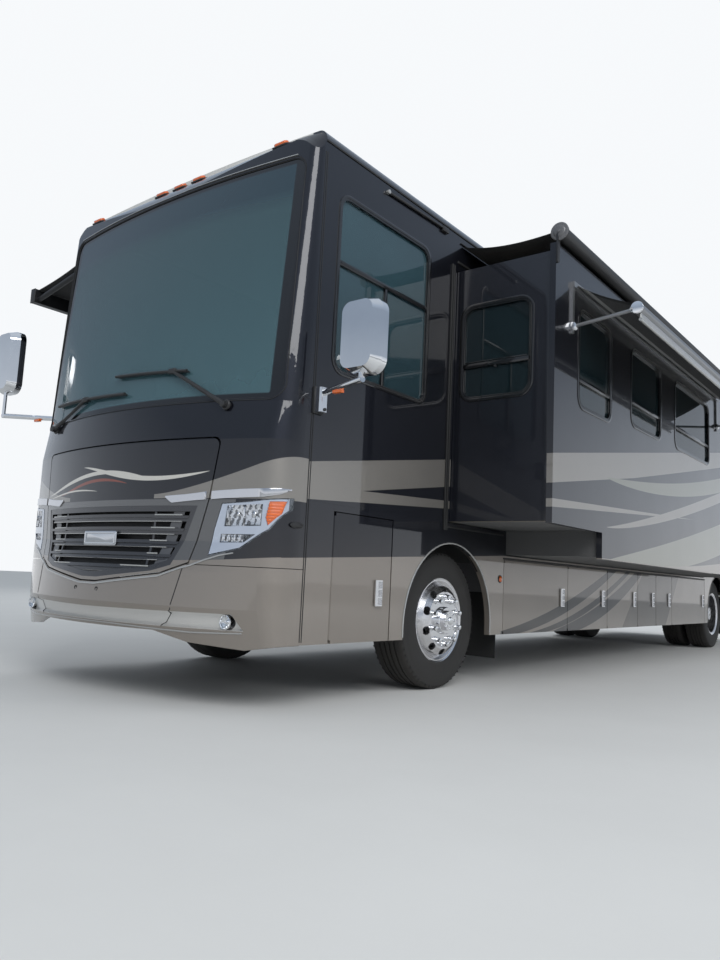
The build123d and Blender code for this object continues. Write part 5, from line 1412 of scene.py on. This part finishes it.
class MOTORHOME_OT_side_trim(bpy.types.Operator):
    """Seals round the slide-out's opening, rails, arch edges, seams of cap and roof, the rod near the roof"""

    bl_idname = "motorhome.side_trim"
    bl_label = "Side trim"

    def arch(self, y):
        """The thin rolled edge of a wheel arch."""
        out = -0.001
        angles = [math.pi * k / 32 for k in range(33)]
        bow = [(y - ARCH_RADIUS * math.cos(a), out, ARCH_Z + ARCH_RADIUS * math.sin(a)) for a in angles]
        return chain([(y - ARCH_RADIUS, out, SKIRT_Z), *bow, (y + ARCH_RADIUS, out, SKIRT_Z)], 0.006, 8)

    def execute(self, context):
        x = HALF_WIDTH
        form = Form()
        for y0, y1, z0, z1, proud, *edge in (
            (-0.137, -0.118, 1.14, 3.14, 0.014, 0.004, 3),
            (-0.106, -0.089, 1.14, 3.14, 0.011, 0.004, 3),
            (8.889, 8.906, 1.14, 3.14, 0.011, 0.004, 3),
            (8.918, 8.937, 1.14, 3.14, 0.014, 0.004, 3),
            (-0.055, 8.855, 3.172, 3.19, 0.01, 0.004, 3),
            (0.79, 6.79, 0.9725, 0.986, 0.006, 0.002),
            (-0.12, 0.79, 1.16, 1.172, 0.004, 0.0015),
        ):
            form.take(block(x - 0.002, x + proud, y0, y1, z0, z1, *edge))
        piece("slide_seals", form, "coach", "black_rubber")

        arches, seams = Form(), Form()
        for side in (1, -1):
            wall = on_side(side, x)
            for y in (0.0, WHEELBASE):
                arches.take(self.arch(y), wall)
            for y in (-1.602, -1.586):
                seam = block(-0.003, 0.003, -0.002, 0.002, SKIRT_Z, 3.33, 0.001)
                seams.take(seam, wall @ Matrix.Translation((y, 0, 0)))
            seams.take(block(CAP_SEAM_Y, 9.68, -0.006, 0.002, 3.394, 3.406, 0.002), wall)
            seams.take(block(9.693, 9.699, -0.002, 0.002, 0.6, 3.33, 0.001), wall)
        piece("arch_edges", arches, "coach", "pale_trim")
        piece("body_seams", seams, "coach", "black_rubber")

        form = rod((x + 0.012, -0.97, 3.338), (x + 0.012, -0.24, 3.36), 0.009, 14, edge=0.002)
        form.take(block(x - 0.002, x + 0.022, -0.3, -0.22, 3.335, 3.375, 0.005))
        piece("roof_rod", form, "coach", "black_plastic")
        form = rod((x - 0.002, -0.975, 3.338), (x + 0.024, -0.975, 3.338), 0.014, 18, edge=0.003)
        piece("roof_rod_knob", form, "coach", "pale_trim")
        return {"FINISHED"}


class MOTORHOME_OT_wiper_pieces(bpy.types.Operator):
    """The wipers' rubber lips and blades, arms, springs, nuts and the blocks that join arm and blade"""

    bl_idname = "motorhome.wiper_pieces"
    bl_label = "Wiper pieces"

    def execute(self, context):
        form = Form()
        glass = surface_of("windshield", "front_cap")
        # For each wiper, across and up: its pivot, where the arm ends, and the blade's two ends.
        for (px, pz), (ax, az), (sx, sz), (ex, ez) in (
            ((0.901, 1.728), (0.467, 1.969), (-0.08, 1.995), (0.582, 1.962)),
            ((-0.901, 1.728), (-0.42, 1.88), (-0.934, 1.905), (0.06, 1.862)),
        ):
            line = [(sx + (ex - sx) * k / 16, sz + (ez - sz) * k / 16) for k in range(17)]
            line = [(x, front_y(x, z, glass), z) for x, z in line]
            form.take(chain([(x, y - 0.0075, z - 0.002) for x, y, z in line], 0.0045, 6))
            form.take(chain([(x, y - 0.026, z) for x, y, z in line], 0.0105, 8))
            y = front_y(px, pz, glass)
            form.take(rod((px, y - 0.03, pz), (px, y - 0.048, pz), 0.02, 6, edge=0.003))
            form.take(rod((px, y - 0.01, pz), (px, y - 0.022, pz), 0.034, 24, 0.028, edge=0.003))
            start = Vector((px, y - 0.026, pz))
            end = Vector((ax, front_y(ax, az, glass) - 0.026, az))
            along = (end - start).normalized()
            form.take(rod(start, start + along * 0.16, 0.017, 12, 0.013, edge=0.003))
            for lift in (-0.011, 0.011):
                shift = Vector((0, 0, lift))
                form.take(rod(start + along * 0.14 + shift, end + shift * 0.7, 0.0045, 8))
            half = Vector((0.03, 0.014, 0.016))
            (x0, y0, z0), (x1, y1, z1) = end - half, end + half
            form.take(block(x0, x1, y0, y1, z0, z1, 0.005, 3))
        piece("wiper_pieces", form, "coach", "black_plastic")
        return {"FINISHED"}


def cloth_sheet(name, start, end, y0, y1, sag, across, along, body, material):
    """A sheet that sags between two rails, with its own map in metres. Returns it and its straight width."""
    form = Form()
    bmesh.ops.create_grid(form.mesh, x_segments=across, y_segments=along, size=0.5, calc_uvs=True)
    (x0, z0), (x1, z1) = start, end
    chart = form.mesh.loops.layers.uv.new("cloth")
    width = math.hypot(x1 - x0, z1 - z0)
    for loop in (loop for face in form.mesh.faces for loop in face.loops):
        loop[chart].uv = ((loop.vert.co.x + 0.5) * width, (loop.vert.co.y + 0.5) * (y1 - y0))
    rng = random.Random(7)
    waves = [(rng.uniform(1.2, 4.5), rng.uniform(0, math.tau), rng.uniform(0.1, 0.3)) for _ in range(5)]

    def hung(p):
        s, t = p.x + 0.5, p.y + 0.5
        ripple = sum(a * math.sin(f * t * math.tau + phase) for f, phase, a in waves)
        hang = 4 * s * (1 - s) * (1 - 0.35 * s)
        drop = sag * hang * (1 + 0.12 * ripple * math.sin(math.pi * t))
        return Vector((x0 + (x1 - x0) * s, y0 + (y1 - y0) * t, z0 + (z1 - z0) * s - drop))

    made = piece(name, form.move(hung), body, material, 60)
    made.modifiers.new("thickness", "SOLIDIFY").thickness = 0.0012
    return made, width


class MOTORHOME_OT_awnings(bpy.types.Operator):
    """The cloths of the topper, the window awning and the patio awning, with their rails, caps and brackets"""

    bl_idname = "motorhome.awnings"
    bl_label = "Awnings"

    def execute(self, context):
        sizes = context.scene.motorhome_sizes
        tube_x, tube_z, tube_r = TOPPER
        made, span = cloth_sheet(
            "topper_cloth", (HALF_WIDTH + 0.004, 3.324), (tube_x, tube_z + tube_r + 0.004), 0.01, 8.79,
            sizes.topper_sag, 24, 60, "coach", "awning_cloth",
        )
        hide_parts("topper_fabric")
        made.parent = None
        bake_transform(made)

        ax, az = AWNING_TUBE
        made, span = cloth_sheet(
            "window_awning_cloth", (SLIDE_X + 0.02, 2.928), (ax, az + 0.042), 0.24, 4.09,
            sizes.awning_sag * 0.7, 20, 40, "slide_room", "window_awning_cloth",
        )
        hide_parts("window_awning_fabric")

        lead_x, lead_z = PATIO_LEAD
        made, span = cloth_sheet(
            "patio_cloth", (-HALF_WIDTH - 0.088, 3.273), (lead_x + 0.055, lead_z + 0.053), -1.54, 4.78,
            sizes.awning_sag * 0.6, 20, 60, "coach", "awning_cloth",
        )
        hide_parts("entry_awning_fabric")

        form = Form()
        for y0, y1, outer, out in ((-0.079, -0.064, -0.079, -1), (8.864, 8.879, 8.879, 1)):
            form.take(long_rod(tube_x, tube_z, y0, y1, 0.066, 40, edge=0.006))
            form.take(long_rod(tube_x, tube_z, outer, outer + out * 0.006, 0.046, 40, 0.036, edge=0.002))
            form.take(long_rod(tube_x, tube_z, outer, outer + out * 0.012, 0.014, 6, edge=0.002))
        piece("topper_caps", form, "slide_room", "cap_grey")
        ends = (-0.0755, 8.8705)
        form = joined(*(block(SLIDE_X, SLIDE_X + 0.014, y - 0.012, y + 0.012, 2.99, 3.2) for y in ends))
        piece("topper_brackets", form, "slide_room", "awning_dark")
        form = block(HALF_WIDTH - 0.001, HALF_WIDTH + 0.012, -0.02, 8.82, 3.335, 3.346, 0.003, 3)
        piece("topper_rail", form, "coach", "awning_dark")

        form = Form()
        for y0, y1 in ((0.165, 0.182), (4.148, 4.165)):
            form.take(long_rod(ax, az, y0, y1, 0.043, 32, edge=0.004))
        for y in (0.195, 4.135):
            form.take(long_rod(SLIDE_X + 0.012, 2.61, y - 0.02, y + 0.02, 0.03, 24, edge=0.004))
            form.take(long_rod(ax - 0.03, az - 0.004, y - 0.019, y + 0.019, 0.024, 24, edge=0.004))
        piece("window_awning_fittings", form, "slide_room", "chrome")
        form = block(ax + 0.006, ax + 0.02, 0.2, 4.13, az - 0.075, az - 0.025, 0.005, 3)
        form.take(long_rod(ax + 0.013, az - 0.075, 0.2, 4.13, 0.011, 14))
        piece("window_awning_valance", form, "slide_room", "pale_trim")

        form = Form()
        wall_x = -HALF_WIDTH
        for y0, y1 in ((-1.572, -1.56), (4.8, 4.812)):
            form.take(block(wall_x - 0.094, wall_x - 0.001, y0, y1, 3.196, 3.334, 0.008, 3))
            form.take(block(lead_x - 0.004, lead_x + 0.064, y0, y1, lead_z - 0.064, lead_z + 0.064, 0.008, 3))
        form.take(block(wall_x - 0.093, wall_x - 0.087, -1.55, 4.79, 3.215, 3.225, 0.002))
        form.take(block(lead_x - 0.004, lead_x + 0.002, -1.55, 4.79, lead_z - 0.02, lead_z + 0.02, 0.002))
        piece("patio_awning_caps", form, "coach", "black_plastic")
        return {"FINISHED"}


class MOTORHOME_OT_seats(bpy.types.Operator):
    """The two cab armchairs: base, padded cushion, back, arm rests and head rest"""

    bl_idname = "motorhome.seats"
    bl_label = "Seats"

    def pad(self, x0, x1, y0, y1, z0, z1, crown):
        """A padded block: a cube cut into a grid, swollen towards its middle and pulled in at its seams."""
        form = Form()
        bmesh.ops.create_cube(form.mesh, size=1)
        bmesh.ops.subdivide_edges(form.mesh, edges=form.mesh.edges[:], cuts=7, use_grid_fill=True)
        size = Vector((x1 - x0, y1 - y0, z1 - z0))
        centre = Vector(((x0 + x1) / 2, (y0 + y1) / 2, (z0 + z1) / 2))
        axis = 2 if min(size) == size.z else 1

        def drawn_in(a, b, corner, squeeze=0.16):
            return math.sqrt(max(0, 1 - squeeze * (a**2 + b**2) / 2 - corner * (a * b) ** 2))

        def shape(p):
            u = p * 2
            out = Vector((
                u.x * drawn_in(u.y, u.z, 0.05), u.y * drawn_in(u.x, u.z, 0.05), u.z * drawn_in(u.x, u.y, 0, 0.2)
            )) * size / 2
            channel = -0.35 * math.exp(-((abs(u.x) - 0.55) / 0.09) ** 2)
            rise = crown * (1 - u.x**2) * (1 - u[3 - axis] ** 2) + channel * crown * 0.6
            if abs(u[axis]) > 0.9:
                out[axis] += math.copysign(rise, u[axis])
            return out + centre

        return form.move(shape)

    def covered(self, name, form):
        """A pad as a smooth leather piece."""
        made = piece(name, form, "coach", "seat_leather", 0)
        made.data.shade_smooth()
        swell = made.modifiers.new("smooth", "SUBSURF")
        swell.levels = swell.render_levels = 2
        return made

    def execute(self, context):
        y = -0.9
        for word, x in (("driver", 0.62), ("passenger", -0.35)):
            form = block(x - 0.17, x + 0.17, y - 0.17, y + 0.17, 1.151, 1.2, 0.02, 3)
            form.take(rod((x, y, 1.19), (x, y, 1.44), 0.07, 32, 0.055))
            form.take(block(x - 0.22, x + 0.22, y - 0.22, y + 0.22, 1.41, 1.445, 0.01, 3))
            base = piece(f"seat_base_{word}", form, "coach", "black_plastic")
            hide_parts("cockpit_seats")
            for name, half, y0, y1, z0, z1, crown in (
                ("cushion", 0.255, -0.25, 0.25, 1.445, 1.57, 0.02),
                ("back", 0.245, 0.185, 0.3, 1.58, 2.16, 0.018),
                ("head", 0.14, 0.2, 0.29, 2.17, 2.32, 0.012),
            ):
                form = self.pad(x - half, x + half, y + y0, y + y1, z0, z1, crown)
                made = self.covered(f"seat_{name}_{word}", form)
            for side, hand in ((1, "left"), (-1, "right")):
                middle = x + side * 0.262
                form = self.pad(middle - 0.033, middle + 0.033, y - 0.12, y + 0.22, 1.69, 1.745, 0.005)
                made = self.covered(f"seat_arm_{word}_{hand}", form)
        return {"FINISHED"}


class MOTORHOME_OT_dash(bpy.types.Operator):
    """The dash's instrument hood, screen, round vents and wood inlay"""

    bl_idname = "motorhome.dash"
    bl_label = "Dash"

    def facing_back(self, form, y):
        """Turns a plate drawn for the front to face the cabin, at a place along."""
        return form.move(lambda p: Vector((p.x, y - p.y, p.z)))

    def execute(self, context):
        form = block(0.36, 0.88, -1.62, -1.52, 1.68, 1.79, 0.02, 3)
        form.take(block(-0.2, 0.24, -1.51, -1.485, 1.46, 1.7, 0.012, 3))
        ring = [(0.0, 0.06), (-0.012, 0.058), (-0.014, 0.05), (-0.004, 0.046), (0.0, 0.046)]
        for x in (-1.0, -0.6, 1.02):
            form.take(lathe(ring, (x, -1.499, 1.62), "Y", 32))
            for z in steps_from(1.59, 0.015, 5):
                form.take(block(x - 0.042, x + 0.042, -1.508, -1.498, z - 0.002, z + 0.002, 0.0008))
        piece("dash_pieces", form, "coach", "dash_plastic")

        form = self.facing_back(plate(-0.19, 0.23, 1.49, 1.68, 0.01, 0, -0.004), -1.485)
        piece("dash_screen", form, "coach", "black_gloss")
        form = self.facing_back(plate(-1.18, 1.18, 1.36, 1.4, 0.01, 0, -0.006), -1.4985)
        piece("dash_inlay", form, "coach", "dash_wood")
        return {"FINISHED"}


class MOTORHOME_OT_roof_pieces(bpy.types.Operator):
    """Grilles and seams of the roof's housings, vent lids and pipes"""

    bl_idname = "motorhome.roof_pieces"
    bl_label = "Roof pieces"

    def execute(self, context):
        form = Form()
        for y in (1.5, WHEELBASE - 2.74, WHEELBASE + 0.46):
            for x in (0.349, -0.349):
                for at in steps_from(y - 0.3, 0.075, 9):
                    form.take(block(x - 0.005, x + 0.005, at - 0.022, at + 0.022, 3.6, 3.7, 0.002))
            form.take(block(-0.352, 0.352, y - 0.502, y + 0.502, 3.556, 3.564, 0.002))
        piece("roof_unit_grilles", form, "coach", "black_plastic")
        form = Form()
        for x, y in ((-0.5, 0.35), (0.45, 3.2), (-0.4, 6.2), (0.5, 9.2)):
            form.take(block(x - 0.2, x + 0.2, y - 0.2, y + 0.2, 3.47, 3.6, 0.03, 4))
        for x in (-0.9, 0.95):
            form.take(rod((x, 5.6, 3.46), (x, 5.6, 3.56), 0.05, 24, 0.045, edge=0.008))
        piece("roof_vents", form, "coach", "roof_white")
        return {"FINISHED"}


class MOTORHOME_OT_tail_pieces(bpy.types.Operator):
    """The tail's bare plate panel, lamp rings, engine door latches and louvre trim"""

    bl_idname = "motorhome.tail_pieces"
    bl_label = "Tail pieces"

    def ring(self, a0, a1, b0, b1, radius, width, proud, edge):
        return ring_of(rounded_face(a0, a1, b0, b1, radius), width, 0.001, -proud, edge)

    def execute(self, context):
        form = Form()
        for x in (-0.55, 0.55):
            form.take(plate(x - 0.06, x + 0.06, 0.83, 0.87, 0.012, 0.001, -0.012, 0.003), ON_TAIL)
            form.take(self.ring(x - 0.075, x + 0.075, 0.815, 0.885, 0.016, 0.008, 0.005, 0.001), ON_TAIL)
        piece("engine_door_latches", form, "engine_hatch", "chrome")
        form = Form().take(self.ring(-0.53, 0.53, 0.865, 1.45, 0.03, 0.02, 0.006, 0.0015), ON_TAIL)
        piece("engine_door_trim", form, "engine_hatch", "black_gloss")
        form = Form()
        for x in (1.11, -1.11):
            form.take(self.ring(x - 0.068, x + 0.068, 0.992, 1.508, 0.03, 0.014, 0.006, 0.0015), ON_TAIL)
        piece("tail_lamp_rings", form, "coach", "chrome")
        form = Form().take(plate(-0.156, 0.156, 2.05, 2.2, 0.012, 0.001, -0.004), ON_TAIL)
        piece("tail_plate", form, "coach", "blank_plate")
        return {"FINISHED"}


class MOTORHOME_OT_entry_pieces(bpy.types.Operator):
    """The ring of the entry door's handle, the grab rail beside the door and the steps' bright edges"""

    bl_idname = "motorhome.entry_pieces"
    bl_label = "Entry pieces"

    def execute(self, context):
        wall, rail_y, low, high = on_side(-1, HALF_WIDTH), -0.64, 1.12, 1.98
        form = ring_of(rounded_face(-0.84, -0.75, 1.24, 1.41, 0.02), 0.012, 0.001, -0.008, 0.002)
        form.mesh.transform(wall)
        piece("entry_handle_ring", form, "entry", "chrome")
        bend = [(-0.001, 0), (-0.05, 0.02), (-0.055, 0.08)]
        rail = [(rail_y, out, low + up) for out, up in bend]
        rail += [(rail_y, out, high - up) for out, up in reversed(bend)]
        form = Form().take(chain(rail, 0.012, 14), wall)
        foot = [(0.001, 0.028), (-0.006, 0.028), (-0.009, 0.024), (-0.009, 0.0)]
        for z in (low, high):
            form.take(lathe(foot, (rail_y, 0, z), "Y", 24, False), wall)
        piece("entry_grab_rail", form, "coach", "chrome")
        form = Form()
        for x, z in ((-1.235, 0.45), (-1.035, 0.69), (-0.835, 0.92)):
            form.take(block(x, x + 0.045, -1.44, -0.72, z, z + 0.004, 0.0015))
        piece("step_edges", form, "coach", "bright_trim")
        return {"FINISHED"}


class MOTORHOME_OT_stage(bpy.types.Operator):
    """The floor, the lights and the camera at the photograph's viewing angle"""

    bl_idname = "motorhome.stage"
    bl_label = "Stage"

    def floor(self, scene):
        form = Form()
        bmesh.ops.create_grid(form.mesh, x_segments=1, y_segments=1, size=60)
        data = bpy.data.meshes.new("floor")
        form.mesh.to_mesh(data)
        form.mesh.free()
        floor = bpy.data.objects.new("floor", data)
        scene.collection.objects.link(floor)
        ground = Finish("pale_floor", (0.62, 0.62, 0.61), Roughness=0.7)
        ground.feed("Base Color", ground.mix(ground.noise(1.2, 5, 0.6), (0.6, 0.6, 0.59), (0.66, 0.66, 0.65)))
        ground.bump(ground.noise(80, 3), 0.08, 0.002)
        data.materials.append(ground.material)

    def world(self, scene):
        """A studio's light: plain white behind, soft light all round, and graded walls where it mirrors."""
        scene.world = bpy.data.worlds.new("studio")
        scene.world.use_nodes = True
        tree = scene.world.node_tree
        tree.nodes.clear()

        def node(kind, **inputs):
            made = tree.nodes.new("ShaderNode" + kind)
            for name, value in inputs.items():
                made.inputs[name].default_value = value
            return made

        soft = node("Background", Color=(0.86, 0.93, 1.0, 1), Strength=0.62)
        white = node("Background", Color=(0.93, 0.95, 0.97, 1), Strength=1.0)
        mirrored, ramp, either = node("Background"), node("ValToRGB"), node("Math")
        out, paths, chart, parts = node("OutputWorld"), node("LightPath"), node("TexCoord"), node("SeparateXYZ")
        lit, seen = node("MixShader"), node("MixShader")
        either.operation = "MAXIMUM"
        stops = ramp.color_ramp.elements
        for stop, tone in (
            (0.0, (0.9, 0.92, 0.95)), (0.1, (0.74, 0.79, 0.86)), (0.32, (0.3, 0.36, 0.45)),
            (0.62, (0.42, 0.5, 0.62)), (1.0, (0.6, 0.66, 0.74)),
        ):
            made = stops[-int(stop)] if stop in (0.0, 1.0) else stops.new(stop)
            made.color = (*tone, 1)
        for source, output, target, socket in (
            (chart, "Generated", parts, 0), (parts, "Z", ramp, 0), (ramp, "Color", mirrored, 0),
            (paths, "Is Glossy Ray", either, 0), (paths, "Is Transmission Ray", either, 1),
            (either, 0, lit, 0), (soft, 0, lit, 1), (mirrored, 0, lit, 2),
            (paths, "Is Camera Ray", seen, 0), (lit, 0, seen, 1), (white, 0, seen, 2), (seen, 0, out, 0),
        ):
            tree.links.new(source.outputs[output], target.inputs[socket])

    def lamp(self, scene, name, place, aim, size, power):
        """A square lamp that looks at a point; only the key light shows in reflections."""
        lamp = bpy.data.lights.new(name, "AREA")
        lamp.shape = "SQUARE"
        lamp.size = size
        lamp.energy = power
        holder = bpy.data.objects.new(name, lamp)
        holder.location = place
        holder.rotation_euler = (Vector(aim) - Vector(place)).to_track_quat("-Z", "Y").to_euler()
        holder.visible_glossy = name == "key_light"
        scene.collection.objects.link(holder)

    def execute(self, context):
        scene = context.scene
        if scene.motorhome_sizes.with_floor:
            self.floor(scene)
        self.world(scene)
        self.lamp(scene, "key_light", (9, -11, 9), (0.5, 0, 1.5), 7, 900)
        self.lamp(scene, "side_light", (13, 4, 7), (1, 3, 1.5), 8, 700)
        self.lamp(scene, "back_light", (-9, 9, 10), (0, 3, 2), 8, 800)
        camera = bpy.data.cameras.new("camera")
        camera.lens = 29.2
        camera.sensor_width = 36
        camera.clip_end = 300
        holder = bpy.data.objects.new("camera", camera)
        turns = ((CAMERA_YAW, "Z"), (math.pi / 2 + CAMERA_PITCH, "X"), (CAMERA_ROLL, "Z"))
        yaw, pitch, roll = (Matrix.Rotation(angle, 4, axis) for angle, axis in turns)
        holder.matrix_world = Matrix.Translation(TO_FRAME @ Vector(CAMERA_PLACE)) @ yaw @ pitch @ roll
        scene.collection.objects.link(holder)
        scene.camera = holder
        scene.view_settings.view_transform = "Standard"
        return {"FINISHED"}


STEPS = (
    MOTORHOME_OT_finishes,
    MOTORHOME_OT_stage,
    MOTORHOME_OT_window_frames,
    MOTORHOME_OT_front_trim,
    MOTORHOME_OT_headlamps,
    MOTORHOME_OT_grille_pieces,
    MOTORHOME_OT_marker_lamps,
    MOTORHOME_OT_wheels,
    MOTORHOME_OT_mirror_pieces,
    MOTORHOME_OT_side_trim,
    MOTORHOME_OT_wiper_pieces,
    MOTORHOME_OT_awnings,
    MOTORHOME_OT_seats,
    MOTORHOME_OT_dash,
    MOTORHOME_OT_roof_pieces,
    MOTORHOME_OT_tail_pieces,
    MOTORHOME_OT_entry_pieces,
)


class MOTORHOME_PT_panel(bpy.types.Panel):
    """The motorhome's colours, sizes and pieces"""

    bl_label = "Motorhome"
    bl_idname = "MOTORHOME_PT_panel"
    bl_space_type = "VIEW_3D"
    bl_region_type = "UI"
    bl_category = "Motorhome"

    def draw(self, context):
        layout = self.layout
        for group in (context.scene.motorhome_colours, context.scene.motorhome_sizes):
            box = layout.box()
            for name in group.__annotations__:
                box.prop(group, name)
        for step in STEPS:
            layout.operator(step.bl_idname)


CLASSES = (MotorhomeColours, MotorhomeSizes, *STEPS, MOTORHOME_PT_panel)


def register():
    for made in CLASSES:
        bpy.utils.register_class(made)
    bpy.types.Scene.motorhome_colours = PointerProperty(type=MotorhomeColours)
    bpy.types.Scene.motorhome_sizes = PointerProperty(type=MotorhomeSizes)


def unregister():
    del bpy.types.Scene.motorhome_colours
    del bpy.types.Scene.motorhome_sizes
    for made in reversed(CLASSES):
        bpy.utils.unregister_class(made)


def main():
    register()
    for step in STEPS:
        group, name = step.bl_idname.split(".")
        getattr(getattr(bpy.ops, group), name)()


if __name__ == "__main__":
    main()
